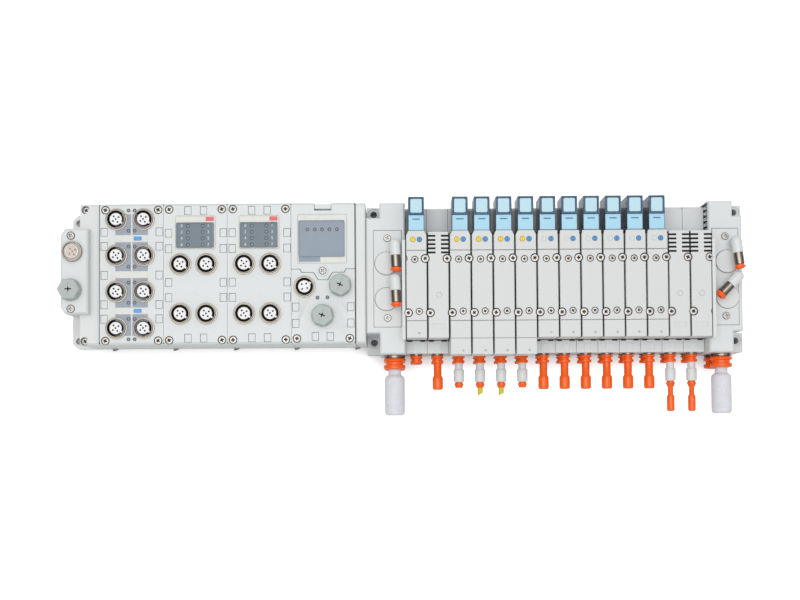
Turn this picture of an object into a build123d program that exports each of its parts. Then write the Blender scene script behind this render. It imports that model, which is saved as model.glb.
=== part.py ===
from build123d import *
import os
from math import cos, pi

# Pneumatic valve island. It lies on its back: the mounting face is Z = 0 and the valves face up.
# X runs along the row of valves, and the tube ports leave towards -Y. All sizes are millimetres.
# The origin is the centre of the manifold's four mounting holes, on the mounting face.

# Sides that stand for a circle on small rounds that repeat. Bolt holes and tube bores stay true circles.
LARGE_SIDES = 16
SMALL_SIDES = 12
TINY_SIDES = 8

# Valve row
STATIONS = 14
PITCH = 16.0
BLOCK_GAP = 0.2
PIECE_GAP = 0.2
MOVING_GAP = 0.35
DOUBLE_COIL_STATIONS = (1, 3, 4, 5, 6)
LONG_STATIONS = (3, 4, 5, 6)
BLANK_STATIONS = (2, 13, 14)

# Manifold blocks
BLOCK_BASE_Z = 1.0
PORT_FACE_Y = -59.0
BLOCK_REAR_Y = 50.0
DECK_Z = 36.0
FRONT_DECK_Z = 40.0
FRONT_DECK_DEPTH = 9.4
WIRING_COVER_Y = 30.0
WIRING_COVER_HEIGHT = 6.0
TIE_ROD_RADIUS = 3.0
TIE_ROD_Y = 35.0
TIE_ROD_Z = 8.0
TIE_ROD_CLEARANCE = 0.4
TIE_ROD_INSETS = (2.7, 12.7)

# Valves
GASKET_THICKNESS = 0.8
GASKET_INSET = 1.5
VALVE_WIDTH = 15.1
VALVE_TOP_Z = 68.0
VALVE_EDGE = 0.7
PILOT_REAR_Y = 29.4
PILOT_FRONT_Y = 15.1
VALVE_FRONT_Y = -36.6
SHORT_END_Y = -48.9
LONG_ADAPTER_Y = -49.4
LONG_END_Y = -61.2
COVER_WIDTH = 11.6
COVER_REAR_Y = 54.4
COVER_STEP_Y = 41.0
COVER_TOP_Z = 67.4
COVER_LABEL_Z = 66.2
WINDOW_WIDTH = 7.8
WINDOW_LENGTH = 10.8
WINDOW_DEPTH = 0.6
SHOULDER_LENGTH = 3.2
CLAMP_UPPER_Y = 9.0
CLAMP_LOWER_Y = -30.7
CLAMP_POCKET = 3.3
CLAMP_POCKET_DEPTH = 2.6
CLAMP_UPPER_SHIFT = 1.6
CLAMP_LOWER_SHIFT = 1.9

# Manual overrides
OVERRIDE_RADIUS = 1.8
OVERRIDE_LENGTH = 3.2
OVERRIDE_PROUD = 0.2
OVERRIDE_TRAVEL = 1.0
OVERRIDE_Y = 22.9
OVERRIDE_A_SHIFT = -2.5
OVERRIDE_B_SHIFT = 2.3
BUTTON_CLEARANCE = 0.05

# Blanking plates
BLANK_TOP_Z = 67.0
BLANK_SETBACK = 1.0
SLOTS = 5
SLOT_WIDTH = 1.2
SLOT_PITCH = 2.95
SLOT_LENGTH = 5.2
SLOT_DEPTH = 5.0
FIRST_SLOT_Y = 26.0

# End blocks
MOUNT_INSET = 5.2
MOUNT_Y = 49.5
MOUNT_HOLE_RADIUS = 2.6
LEFT_BLOCK_WIDTH = 29.2
RIGHT_BLOCK_WIDTH = 34.2
END_TOP_Z = 55.0
END_REAR_Y = 52.0
END_FRONT_Y = -60.0
EAR_REAR_Y = 41.0
EAR_FRONT_Y = -44.5
EAR_REAR_MARGIN = 5.0
EAR_FRONT_MARGIN = 9.0
EAR_HEIGHT = 18.0
EAR_WIDTH = 10.1
END_EDGE = 1.0
SIDE_WALL_WIDTH = 2.4
SIDE_WALL_TOP_Z = 66.0
SIDE_WALL_REAR_Y = 23.0
SIDE_WALL_FRONT_Y = -50.0
COVER_PLATE_THICKNESS = 1.5
COVER_PLATE_REAR_Y = 31.5
COVER_PLATE_FRONT_Y = -40.0
COVER_PLATE_GAP = 0.15
COVER_PLATE_INSET = 0.5
LEFT_PLATE_MARGIN = 5.8
RIGHT_PLATE_MARGIN = 12.2
RIGHT_STEP = 9.2
RIGHT_TOWER_STEP = 6.0
LOUVRES = 5
LOUVRE_PITCH = 4.2
LOUVRE_WIDTH = 2.2
LOUVRE_DEPTH = 2.0
LOUVRE_Z = (44.0, 53.0)

# Elbow fittings on the end blocks
ELBOW_STUD_RADIUS = 2.0
ELBOW_STUD_LENGTH = 6.0
ELBOW_STUD_CLEARANCE = 0.05
ELBOW_HEAD_RADIUS = 3.9
ELBOW_LIFT = 0.4
ELBOW_HEIGHT = 12.4
ELBOW_REACH = 8.3
BARREL_RADIUS = 3.6
BARREL_LENGTH = 12.0

# Tube ports
PORT_Z = 30.0
SPOOL_RADIUS = 4.6
SPOOL_LENGTH = 7.1
TUBE_RADIUS = 3.0
TUBE_SOCKET_DEPTH = 6.0
TUBE_CLEARANCE = 0.05
PLUG_NECK_RADIUS = 2.9
PLUG_NECK_LENGTH = 10.0
PLUG_HEAD_RADIUS = 4.0
PLUG_HEAD_LENGTH = 10.0
REDUCER_RADIUS = 4.0
REDUCER_LENGTH = 14.2
REDUCER_RING_RADIUS = 3.5
REDUCER_RING_LENGTH = 4.4
SMALL_PLUG_RADIUS = 2.9
SMALL_PLUG_LENGTH = 19.0
TUBE_STUB_RADIUS = 2.0
TUBE_STUB_LENGTH = 6.4
LOWER_PORT_Z = 14.0
MAIN_PORT_REACH = (8.5, 13.5)
MAIN_UPPER_Z = 34.0
MAIN_LOWER_Z = 13.5
MAIN_COLLAR_RADIUS = 8.2
MAIN_COLLAR_LENGTH = 10.6
MAIN_TUBE_RADIUS = 6.0
MAIN_SOCKET_DEPTH = 8.6
SILENCER_NECK_RADIUS = 4.65
SILENCER_NECK_LENGTH = 4.3
SILENCER_RADIUS = 7.5
SILENCER_LENGTH = 30.4
SILENCER_EDGE = 2.5

# Input and output units
UNIT_PITCH = 47.0
UNIT_GAP = 0.2
UNIT_REAR_Y = 52.0
UNIT_FRONT_Y = -52.0
UNIT_TOP_Z = 58.0
UNIT_EDGE = 1.5
VALVE_PLATE_WIDTH = 7.9
SOCKET_RADIUS = 7.15
SOCKET_BORE_RADIUS = 5.6
SOCKET_PROUD = 2.5
SOCKET_INSERT_RADIUS = 4.2
SOCKET_INSERT_DEPTH = 0.8
INPUT_COLUMNS = (-34.7, -14.6)
INPUT_ROWS = (40.5, 13.8, -12.9, -39.9)
OUTPUT_COLUMNS = (-34.6, -15.4)
OUTPUT_ROWS = (7.1, -29.5)
NETWORK_SOCKET = (-37.1, -10.1)
CAP_ACROSS_FLATS = 13.0
CAP_HEIGHT = 6.5
CAP_FLANGE_RADIUS = 7.4
CAP_FLANGE_HEIGHT = 1.5
CAP_PLACES = ((-10.8, -9.3), (-23.9, -31.6))
SWITCH_COVER_FRONT_Y = 3.1
SWITCH_COVER_THICKNESS = 5.1
SWITCH_SHELF_Y = 0.6
SWITCH_SHELF_HALF_WIDTHS = (16.7, 15.6)
SWITCH_TAB_Y = -4.9
SWITCH_TAB_HALF_WIDTHS = (6.8, 3.4)
SWITCH_WELL_DEPTH = 12.0
SWITCH_WELL_Y = (7.5, 42.5)
SWITCH_WELL_WIDTH = 38.0
SWITCH_BLOCK_WIDTH = 24.0
SWITCH_BLOCK_Y = (14.5, 28.5)
SWITCH_BLOCK_HEIGHT = 6.0
HINGE_Y = 49.3
HINGE_Z = 55.4
HINGE_RADIUS = 1.0
HINGE_CLEARANCE = 0.06
HINGE_POST_WIDTH = 12.0
HINGE_POST_HALF = 1.6
HINGE_SWEEP = 3.1

# End plate of the input and output units
END_PLATE_WIDTH = 15.0
END_PLATE_TOP_Z = 56.0
FOOT_REACH = 32.9
FOOT_HOLE_REACH = 28.0
FOOT_HOLE_Y = 46.0
FOOT_HEIGHT = 6.0
FOOT_CORNER = 4.0
POWER_BLOCK_REACH = (27.4, 7.3)
POWER_BLOCK_Y = (-29.5, 33.1)
POWER_BLOCK_TOP_Z = 64.0
POWER_BLOCK_SKIRT_Z = 20.0
POWER_BLOCK_EDGE = 1.2
POWER_BLOCK_CORNERS = (3.0, 5.0)
POWER_PLUG = (-18.7, 16.2)
POWER_CAP = (-19.8, -12.0)

VALVE_BASE_Z = DECK_Z + GASKET_THICKNESS
BLANK_REAR_Y = PILOT_REAR_Y - BLANK_SETBACK

# The mounting holes are as far out on the left as on the right, and the row lies between the end blocks.
END_OUTER_X = (LEFT_BLOCK_WIDTH + STATIONS * PITCH + RIGHT_BLOCK_WIDTH) / 2
ROW_LEFT_X = LEFT_BLOCK_WIDTH - END_OUTER_X
ROW_RIGHT_X = END_OUTER_X - RIGHT_BLOCK_WIDTH
MOUNT_X = END_OUTER_X - MOUNT_INSET
TIE_ROD_X = (TIE_ROD_INSETS[0] - END_OUTER_X, END_OUTER_X - TIE_ROD_INSETS[1])
VALVE_PLATE_RIGHT_X = -END_OUTER_X - UNIT_GAP
UNITS_RIGHT_X = VALVE_PLATE_RIGHT_X - VALVE_PLATE_WIDTH
UNIT_NAMES = ("network_unit", "output_unit_2", "output_unit_1", "input_unit")
UNITS_LEFT_X = UNITS_RIGHT_X - len(UNIT_NAMES) * UNIT_PITCH


def station_x(station):
    return ROW_LEFT_X + (station - 0.5) * PITCH


def main_port_x(side):
    return ROW_LEFT_X - MAIN_PORT_REACH[0] if side < 0 else ROW_RIGHT_X + MAIN_PORT_REACH[1]


def unit_right_x(name):
    return UNITS_RIGHT_X - UNIT_NAMES.index(name) * UNIT_PITCH


def slab(x, y, z):
    """A block between a low and a high value on each axis."""
    low, high = zip(x, y, z)
    size = [b - a for a, b in zip(low, high)]
    return Pos(*low) * Box(*size, align=(Align.MIN, Align.MIN, Align.MIN))


def across(outline, x):
    """An outline of (Y, Z) points, carried from one X to another."""
    face = make_face(Plane.YZ.offset(x[0]) * Polyline(*outline, close=True))
    return extrude(face, x[1] - x[0], dir=(1, 0, 0))


def upward(outline, z):
    """An outline of (X, Y) points, carried from one Z to another."""
    face = make_face(Plane.XY.offset(z[0]) * Polyline(*outline, close=True))
    return extrude(face, z[1] - z[0], dir=(0, 0, 1))


def bar(plane, radius, length, sides=0):
    """A round bar that leaves the plane: a true cylinder, or one with flat sides inside that circle."""
    if sides == 0:
        return plane * Cylinder(radius, length, align=(Align.CENTER, Align.CENTER, Align.MIN))
    return extrude(plane * RegularPolygon(radius, sides), length, dir=plane.z_dir)


def hole_radius(radius, sides):
    """The corner radius of a hole whose flat sides just clear a round pin."""
    return radius / cos(pi / sides)


def upright(x, y, z, radius, sides=0):
    """A round bar standing up between two heights."""
    return bar(Plane(origin=(x, y, z[0])), radius, z[1] - z[0], sides)


def forward(x, y, z, steps, sides=SMALL_SIDES):
    """Round steps of (radius, length), one after the other, leaving towards -Y."""
    shape = None
    for radius, length in steps:
        plane = Plane(origin=(x, y, z), x_dir=(1, 0, 0), z_dir=(0, -1, 0))
        step = bar(plane, radius, length, sides)
        shape = step if shape is None else shape + step
        y -= length
    return shape


def save(name, *solids):
    """Writes one node: every solid in it stays a separate piece."""
    pieces = [solid for shape in solids for solid in shape.solids()]
    node = pieces[0] if len(pieces) == 1 else Compound(children=pieces)
    node.label = name
    export_step(node, f"parts/{name}.step")


# Manifold blocks: one moulding for each station, notched underneath for the tie rods.

def rod_notch(y):
    half = TIE_ROD_RADIUS + TIE_ROD_CLEARANCE
    top = TIE_ROD_Z + half
    return [(y - half, BLOCK_BASE_Z), (y - half, top), (y + half, top), (y + half, BLOCK_BASE_Z)]


def manifold_block(station):
    front_deck_y = PORT_FACE_Y + FRONT_DECK_DEPTH
    outline = [(PORT_FACE_Y, BLOCK_BASE_Z), *rod_notch(-TIE_ROD_Y), *rod_notch(TIE_ROD_Y)]
    outline += [(BLOCK_REAR_Y, BLOCK_BASE_Z), (BLOCK_REAR_Y, DECK_Z), (front_deck_y, DECK_Z)]
    outline += [(front_deck_y, FRONT_DECK_Z), (PORT_FACE_Y, FRONT_DECK_Z)]
    half = (PITCH - BLOCK_GAP) / 2
    return across(outline, (station_x(station) - half, station_x(station) + half))


def wiring_cover():
    top = DECK_Z + WIRING_COVER_HEIGHT
    outline = [(WIRING_COVER_Y, DECK_Z), (WIRING_COVER_Y, top - 1), (WIRING_COVER_Y + 1, top)]
    outline += [(BLOCK_REAR_Y - 2, top), (BLOCK_REAR_Y, top - 2), (BLOCK_REAR_Y, DECK_Z)]
    return across(outline, (ROW_LEFT_X, ROW_RIGHT_X))


def tie_rod(y):
    plane = Plane(origin=(TIE_ROD_X[0], y, TIE_ROD_Z), z_dir=(1, 0, 0))
    return bar(plane, TIE_ROD_RADIUS, TIE_ROD_X[1] - TIE_ROD_X[0], SMALL_SIDES)


# Valves: gasket, body, end cover, pilot head with its overrides, and indicator cover.

def gasket(station):
    half = VALVE_WIDTH / 2 - GASKET_INSET
    front = PORT_FACE_Y + FRONT_DECK_DEPTH + GASKET_INSET
    x = (station_x(station) - half, station_x(station) + half)
    return slab(x, (front, WIRING_COVER_Y - GASKET_INSET), (DECK_Z, VALVE_BASE_Z))


def valve_piece(station, y, base=VALVE_BASE_Z, top=VALVE_TOP_Z):
    """A length of the valve with chamfered upper edges, seen from the end as one outline."""
    x = station_x(station)
    half = VALVE_WIDTH / 2
    outline = [(x - half, base), (x + half, base), (x + half, top - VALVE_EDGE)]
    outline += [(x + half - VALVE_EDGE, top), (x - half + VALVE_EDGE, top), (x - half, top - VALVE_EDGE)]
    plane = Plane(origin=(0, y[1], 0), x_dir=(1, 0, 0), z_dir=(0, -1, 0))
    face = make_face(plane * Polyline(*outline, close=True))
    return extrude(face, y[1] - y[0], dir=(0, -1, 0))


def clamp_pocket(x, y, top):
    """A six-sided pocket that a clamp screw's head sits in, open at the side of the valve."""
    plane = Plane(origin=(x, y, top - CLAMP_POCKET_DEPTH))
    return extrude(plane * RegularPolygon(CLAMP_POCKET, 6), CLAMP_POCKET_DEPTH + 1)


def clamp_pockets(station, top):
    right = station_x(station) + PITCH / 2 - CLAMP_UPPER_SHIFT
    left = station_x(station) - PITCH / 2 + CLAMP_LOWER_SHIFT
    pockets = clamp_pocket(right, CLAMP_UPPER_Y, top) + clamp_pocket(left, CLAMP_LOWER_Y, top)
    if station > 1:
        pockets += clamp_pocket(right - PITCH, CLAMP_UPPER_Y, top)
    if station < STATIONS:
        pockets += clamp_pocket(left + PITCH, CLAMP_LOWER_Y, top)
    return pockets


def valve_body(station):
    y = (VALVE_FRONT_Y + PIECE_GAP / 2, PILOT_FRONT_Y - PIECE_GAP / 2)
    return valve_piece(station, y) - clamp_pockets(station, VALVE_TOP_Z)


def adapter(station):
    return valve_piece(station, (LONG_ADAPTER_Y + PIECE_GAP / 2, VALVE_FRONT_Y - PIECE_GAP / 2))


def end_cover(station):
    if station in LONG_STATIONS:
        y = (LONG_END_Y, LONG_ADAPTER_Y - PIECE_GAP / 2)
        return valve_piece(station, y, base=FRONT_DECK_Z + PIECE_GAP)
    return valve_piece(station, (SHORT_END_Y, VALVE_FRONT_Y - PIECE_GAP / 2))


def override_places(station):
    places = [station_x(station) + OVERRIDE_B_SHIFT]
    if station in DOUBLE_COIL_STATIONS:
        places.append(station_x(station) + OVERRIDE_A_SHIFT)
    return places


def pilot_head(station):
    x = station_x(station)
    wide = VALVE_WIDTH / 2
    narrow = COVER_WIDTH / 2
    front = PILOT_FRONT_Y + PIECE_GAP / 2
    rear = PILOT_REAR_Y - PIECE_GAP / 2
    shoulder = rear - SHOULDER_LENGTH
    outline = [(x - wide, front), (x + wide, front), (x + wide, shoulder), (x + narrow, rear)]
    outline += [(x - narrow, rear), (x - wide, shoulder)]
    head = upward(outline, (VALVE_BASE_Z, VALVE_TOP_Z))
    hole = hole_radius(OVERRIDE_RADIUS + BUTTON_CLEARANCE, TINY_SIDES)
    floor = VALVE_TOP_Z + OVERRIDE_PROUD - OVERRIDE_LENGTH - OVERRIDE_TRAVEL - PIECE_GAP
    for place in override_places(station):
        head -= upright(place, OVERRIDE_Y, (floor, VALVE_TOP_Z + 1), hole, TINY_SIDES)
    return head


def override(x):
    top = VALVE_TOP_Z + OVERRIDE_PROUD
    return upright(x, OVERRIDE_Y, (top - OVERRIDE_LENGTH, top), OVERRIDE_RADIUS, TINY_SIDES)


def indicator_cover(station):
    x = station_x(station)
    half = COVER_WIDTH / 2
    front = PILOT_REAR_Y + PIECE_GAP / 2
    base = DECK_Z + WIRING_COVER_HEIGHT + PIECE_GAP
    outline = [(front, base), (front, COVER_LABEL_Z), (COVER_STEP_Y, COVER_LABEL_Z)]
    outline += [(COVER_STEP_Y + 0.8, COVER_TOP_Z), (COVER_REAR_Y - 1, COVER_TOP_Z)]
    outline += [(COVER_REAR_Y, COVER_TOP_Z - 1), (COVER_REAR_Y, base)]
    cover = across(outline, (x - half, x + half))
    window_rear = COVER_REAR_Y - 1.4
    window = slab(
        (x - WINDOW_WIDTH / 2, x + WINDOW_WIDTH / 2),
        (window_rear - WINDOW_LENGTH, window_rear),
        (COVER_TOP_Z - WINDOW_DEPTH, COVER_TOP_Z + 1),
    )
    return cover - window


def blanking_plate(station):
    x = station_x(station)
    half = VALVE_WIDTH / 2
    plate = valve_piece(station, (SHORT_END_Y, BLANK_REAR_Y), top=BLANK_TOP_Z)
    for number in range(SLOTS):
        y = FIRST_SLOT_Y - number * SLOT_PITCH
        for side in (-1, 1):
            edges = sorted((x + side * (half + 1), x + side * (half - SLOT_LENGTH)))
            plate -= slab(edges, (y - SLOT_WIDTH, y), (BLANK_TOP_Z - SLOT_DEPTH, BLANK_TOP_Z + 1))
    return plate - clamp_pockets(station, BLANK_TOP_Z)


# End blocks: ears with mounting holes, a raised wall beside the valves, and a cover plate.

def end_inner_x(side):
    return (ROW_LEFT_X if side < 0 else ROW_RIGHT_X) + side * BLOCK_GAP


def cover_plate_x(side):
    inner = end_inner_x(side) + side * (SIDE_WALL_WIDTH + COVER_PLATE_INSET)
    outer = side * (END_OUTER_X - (LEFT_PLATE_MARGIN if side < 0 else RIGHT_PLATE_MARGIN))
    return sorted((inner, outer))


def end_block(side):
    inner = end_inner_x(side)
    outer = side * END_OUTER_X
    main = outer - (0 if side < 0 else RIGHT_STEP)
    tower = side * (END_OUTER_X - EAR_WIDTH) - (0 if side < 0 else RIGHT_TOWER_STEP)
    outline = [(inner, END_FRONT_Y), (tower, END_FRONT_Y), (tower, EAR_FRONT_Y), (main, EAR_FRONT_Y)]
    outline += [(main, EAR_REAR_Y), (tower, EAR_REAR_Y), (tower, END_REAR_Y), (inner, END_REAR_Y)]
    block = upward(outline, (0, END_TOP_Z))
    block = chamfer(block.faces().sort_by(Axis.Z)[-1].edges(), END_EDGE)
    ear_x = sorted((tower - side, outer))
    block += slab(ear_x, (EAR_REAR_Y - 1, MOUNT_Y + EAR_REAR_MARGIN), (0, EAR_HEIGHT))
    block += slab(ear_x, (-MOUNT_Y - EAR_FRONT_MARGIN, EAR_FRONT_Y + 1), (0, EAR_HEIGHT))
    for y in (-MOUNT_Y, MOUNT_Y):
        block -= upright(side * MOUNT_X, y, (-1, EAR_HEIGHT + 1), MOUNT_HOLE_RADIUS)
    wall_x = sorted((inner, inner + side * SIDE_WALL_WIDTH))
    block += slab(wall_x, (SIDE_WALL_FRONT_Y, SIDE_WALL_REAR_Y), (END_TOP_Z - 2, SIDE_WALL_TOP_Z))
    plate_x = cover_plate_x(side)
    pocket_x = (plate_x[0] - COVER_PLATE_GAP, plate_x[1] + COVER_PLATE_GAP)
    pocket_y = (COVER_PLATE_FRONT_Y - COVER_PLATE_GAP, COVER_PLATE_REAR_Y + COVER_PLATE_GAP)
    block -= slab(pocket_x, pocket_y, (END_TOP_Z - COVER_PLATE_THICKNESS, END_TOP_Z + 1))
    return block - rod_ends(side) - (louvres() if side > 0 else [])


def rod_ends(side):
    """Notches under an end block that hold the ends of the tie rods."""
    half = TIE_ROD_RADIUS + TIE_ROD_CLEARANCE
    end = TIE_ROD_X[0] - 1 if side < 0 else TIE_ROD_X[1] + 1
    x = sorted((end_inner_x(side) - side, end))
    return [slab(x, (y - half, y + half), (-1, TIE_ROD_Z + half)) for y in (-TIE_ROD_Y, TIE_ROD_Y)]


def louvres():
    """Vent slots in the side of the right end block that faces the wiring cover."""
    inner = end_inner_x(1)
    tops = [END_REAR_Y - 3 - number * LOUVRE_PITCH for number in range(LOUVRES)]
    return [slab((inner - 1, inner + LOUVRE_DEPTH), (y - LOUVRE_WIDTH, y), LOUVRE_Z) for y in tops]


def cover_plate(side):
    z = (END_TOP_Z - COVER_PLATE_THICKNESS, END_TOP_Z)
    return slab(cover_plate_x(side), (COVER_PLATE_FRONT_Y, COVER_PLATE_REAR_Y), z)


# Elbow fittings turn on studs that stand on the cover plates.
# Each is (distance out from the row, Y, direction in degrees): 270 points towards the tube ports.
LEFT_ELBOWS = {"elbow_left_rear": (7.8, 20.4, 273.0), "elbow_left_front": (7.8, -5.4, 273.0)}
RIGHT_ELBOWS = {"elbow_right_rear": (18.6, 20.6, 277.5), "elbow_right_front": (19.7, -5.1, 226.0)}
ELBOWS = {name: (ROW_LEFT_X - reach, y, turn) for name, (reach, y, turn) in LEFT_ELBOWS.items()}
ELBOWS |= {name: (ROW_RIGHT_X + reach, y, turn) for name, (reach, y, turn) in RIGHT_ELBOWS.items()}


def elbow_stud(x, y):
    return upright(x, y, (END_TOP_Z, END_TOP_Z + ELBOW_STUD_LENGTH), ELBOW_STUD_RADIUS, SMALL_SIDES)


def elbow(x, y, degrees):
    """A head with an arm, and the barrel that takes the tube, along +X before they are turned."""
    base = END_TOP_Z + ELBOW_LIFT
    top = base + ELBOW_HEIGHT
    radius = ELBOW_HEAD_RADIUS
    head = upright(0, 0, (base, top), radius, SMALL_SIDES)
    head += slab((0, ELBOW_REACH), (-BARREL_RADIUS, BARREL_RADIUS), (top - 2 * radius, top))
    bore = hole_radius(ELBOW_STUD_RADIUS + ELBOW_STUD_CLEARANCE, SMALL_SIDES)
    head -= upright(0, 0, (base - 1, END_TOP_Z + ELBOW_STUD_LENGTH + PIECE_GAP), bore, SMALL_SIDES)
    along = Plane(origin=(ELBOW_REACH, 0, top - radius), z_dir=(1, 0, 0))
    barrel = bar(along, BARREL_RADIUS, BARREL_LENGTH, SMALL_SIDES)
    turn = Pos(x, y, 0) * Rot(0, 0, degrees)
    return turn * head, turn * barrel


# Tube ports: a collar on each port, and what is pushed into it.
REDUCED_STATIONS = (3, 4, 5, 6, 13, 14)
PLUGGED_STATIONS = (2, 7, 8, 9, 10, 11, 12)
TUBED_STATIONS = (4, 5)
SMALL_PLUG_STATIONS = (13, 14)
SPOOL_END_Y = PORT_FACE_Y - SPOOL_LENGTH
REDUCER_END_Y = SPOOL_END_Y - REDUCER_LENGTH
RING_END_Y = REDUCER_END_Y - REDUCER_RING_LENGTH
MAIN_END_Y = END_FRONT_Y - MAIN_COLLAR_LENGTH


def port_collar(station, z=PORT_Z):
    collar = forward(station_x(station), PORT_FACE_Y, z, [(SPOOL_RADIUS, SPOOL_LENGTH)])
    if z == LOWER_PORT_Z or station in REDUCED_STATIONS + PLUGGED_STATIONS:
        return collar
    bore = [(TUBE_RADIUS + TUBE_CLEARANCE, SPOOL_LENGTH)]
    return collar - forward(station_x(station), SPOOL_END_Y + TUBE_SOCKET_DEPTH, z, bore, sides=0)


def port_plug(station):
    steps = [(PLUG_NECK_RADIUS, PLUG_NECK_LENGTH), (PLUG_HEAD_RADIUS, PLUG_HEAD_LENGTH)]
    return forward(station_x(station), SPOOL_END_Y, PORT_Z, steps)


def reducer(station):
    return forward(station_x(station), SPOOL_END_Y, PORT_Z, [(REDUCER_RADIUS, REDUCER_LENGTH)])


def reducer_ring(station):
    return forward(station_x(station), REDUCER_END_Y, PORT_Z, [(REDUCER_RING_RADIUS, REDUCER_RING_LENGTH)])


def main_collar(side, z):
    x = main_port_x(side)
    collar = forward(x, END_FRONT_Y, z, [(MAIN_COLLAR_RADIUS, MAIN_COLLAR_LENGTH)], LARGE_SIDES)
    if z == MAIN_UPPER_Z:
        return collar
    bore = [(MAIN_TUBE_RADIUS + TUBE_CLEARANCE, MAIN_COLLAR_LENGTH)]
    return collar - forward(x, MAIN_END_Y + MAIN_SOCKET_DEPTH, z, bore, sides=0)


def silencer(side):
    steps = [(SILENCER_NECK_RADIUS, SILENCER_NECK_LENGTH), (SILENCER_RADIUS, SILENCER_LENGTH)]
    shape = forward(main_port_x(side), MAIN_END_Y, MAIN_UPPER_Z, steps, LARGE_SIDES)
    return chamfer(shape.faces().sort_by(Axis.Y)[0].edges(), SILENCER_EDGE)


# Input and output units: one housing for each, with round sockets that stand on its face.

def unit_outline(rear, front, top):
    """The housing seen from its side, with its upper edges bevelled."""
    outline = [(front, 0), (front, top - UNIT_EDGE), (front + UNIT_EDGE, top)]
    return outline + [(rear - UNIT_EDGE, top), (rear, top - UNIT_EDGE), (rear, 0)]


def unit_x(name):
    right = unit_right_x(name)
    return (right - UNIT_PITCH + UNIT_GAP / 2, right - UNIT_GAP / 2)


def unit_housing(name):
    return across(unit_outline(UNIT_REAR_Y, UNIT_FRONT_Y, UNIT_TOP_Z), unit_x(name))


def hinge_bar(x, radius):
    return bar(Plane(origin=(x[0], HINGE_Y, HINGE_Z), z_dir=(1, 0, 0)), radius, x[1] - x[0], SMALL_SIDES)


def network_middle_x():
    return unit_right_x("network_unit") - UNIT_PITCH / 2


def network_step_z():
    """The level that the housing drops to under the hinged cover."""
    return HINGE_Z - HINGE_SWEEP


def switch_cover_front(low, high, gap=0.0):
    """The hinged cover's front edge from left to right: a shelf, and a tab for its captive screw."""
    middle = network_middle_x()
    widths = (*SWITCH_SHELF_HALF_WIDTHS, *SWITCH_TAB_HALF_WIDTHS)
    depths = (SWITCH_COVER_FRONT_Y, SWITCH_SHELF_Y, SWITCH_SHELF_Y, SWITCH_TAB_Y)
    left = [(middle - half - gap, y - gap) for half, y in zip(widths, depths)]
    right = [(middle + half + gap, y - gap) for half, y in zip(widths, depths)]
    ends = SWITCH_COVER_FRONT_Y - gap
    return [(low, ends), *left, *reversed(right), (high, ends)]


def network_housing():
    """The rear half drops under the cover, with a well for the switches and a post for the hinge."""
    low, high = unit_x("network_unit")
    middle = network_middle_x()
    outline = switch_cover_front(low - 1, high + 1, MOVING_GAP)
    outline += [(high + 1, UNIT_REAR_Y + 1), (low - 1, UNIT_REAR_Y + 1)]
    step = upward(outline, (network_step_z(), UNIT_TOP_Z + 1))
    well_half = SWITCH_WELL_WIDTH / 2
    well_z = (UNIT_TOP_Z - SWITCH_WELL_DEPTH, UNIT_TOP_Z)
    well = slab((middle - well_half, middle + well_half), SWITCH_WELL_Y, well_z)
    housing = unit_housing("network_unit") - step - well
    post_half = HINGE_POST_WIDTH / 2
    post_y = (HINGE_Y - HINGE_POST_HALF, HINGE_Y + HINGE_POST_HALF)
    post_z = (network_step_z() - 1, HINGE_Z + HINGE_POST_HALF)
    housing += slab((middle - post_half, middle + post_half), post_y, post_z)
    bore = hole_radius(HINGE_RADIUS + HINGE_CLEARANCE, SMALL_SIDES)
    return housing - hinge_bar((low, high), bore)


def switch_cover():
    """Hinged at its rear edge, notched there for the post, with a tab for its captive screw."""
    middle = network_middle_x()
    low, high = unit_x("network_unit")
    base = UNIT_TOP_Z - SWITCH_COVER_THICKNESS
    profile = [(SWITCH_TAB_Y - 1, base), (SWITCH_TAB_Y - 1, UNIT_TOP_Z)]
    profile += [(UNIT_REAR_Y - UNIT_EDGE, UNIT_TOP_Z), (UNIT_REAR_Y, UNIT_TOP_Z - UNIT_EDGE)]
    profile += [(UNIT_REAR_Y, base + UNIT_EDGE), (UNIT_REAR_Y - UNIT_EDGE, base)]
    outline = switch_cover_front(low, high) + [(high, UNIT_REAR_Y), (low, UNIT_REAR_Y)]
    cover = across(profile, (low, high)) & upward(outline, (base, UNIT_TOP_Z))
    notch_half = HINGE_POST_WIDTH / 2 + MOVING_GAP
    notch_y = (HINGE_Y - HINGE_SWEEP, UNIT_REAR_Y + 1)
    cover -= slab((middle - notch_half, middle + notch_half), notch_y, (base - 1, UNIT_TOP_Z + 1))
    bore = hole_radius(HINGE_RADIUS + HINGE_CLEARANCE, SMALL_SIDES)
    return cover - hinge_bar((low - 1, high + 1), bore)


def switch_hinge_pin():
    low, high = unit_x("network_unit")
    return hinge_bar((low + 1, high - 1), HINGE_RADIUS)


def switch_block():
    middle = network_middle_x()
    half = SWITCH_BLOCK_WIDTH / 2
    floor = UNIT_TOP_Z - SWITCH_WELL_DEPTH
    return slab((middle - half, middle + half), SWITCH_BLOCK_Y, (floor, floor + SWITCH_BLOCK_HEIGHT))


def socket_places():
    places = [(unit_right_x("input_unit") + x, y) for x in INPUT_COLUMNS for y in INPUT_ROWS]
    for name in ("output_unit_1", "output_unit_2"):
        places += [(unit_right_x(name) + x, y) for x in OUTPUT_COLUMNS for y in OUTPUT_ROWS]
    return places + [(unit_right_x("network_unit") + NETWORK_SOCKET[0], NETWORK_SOCKET[1])]


def socket(x, y, base=UNIT_TOP_Z):
    """A threaded sleeve, open at both ends."""
    sleeve = upright(x, y, (base, base + SOCKET_PROUD), SOCKET_RADIUS, SMALL_SIDES)
    return sleeve - upright(x, y, (base - 1, base + SOCKET_PROUD + 1), SOCKET_BORE_RADIUS, SMALL_SIDES)


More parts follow.
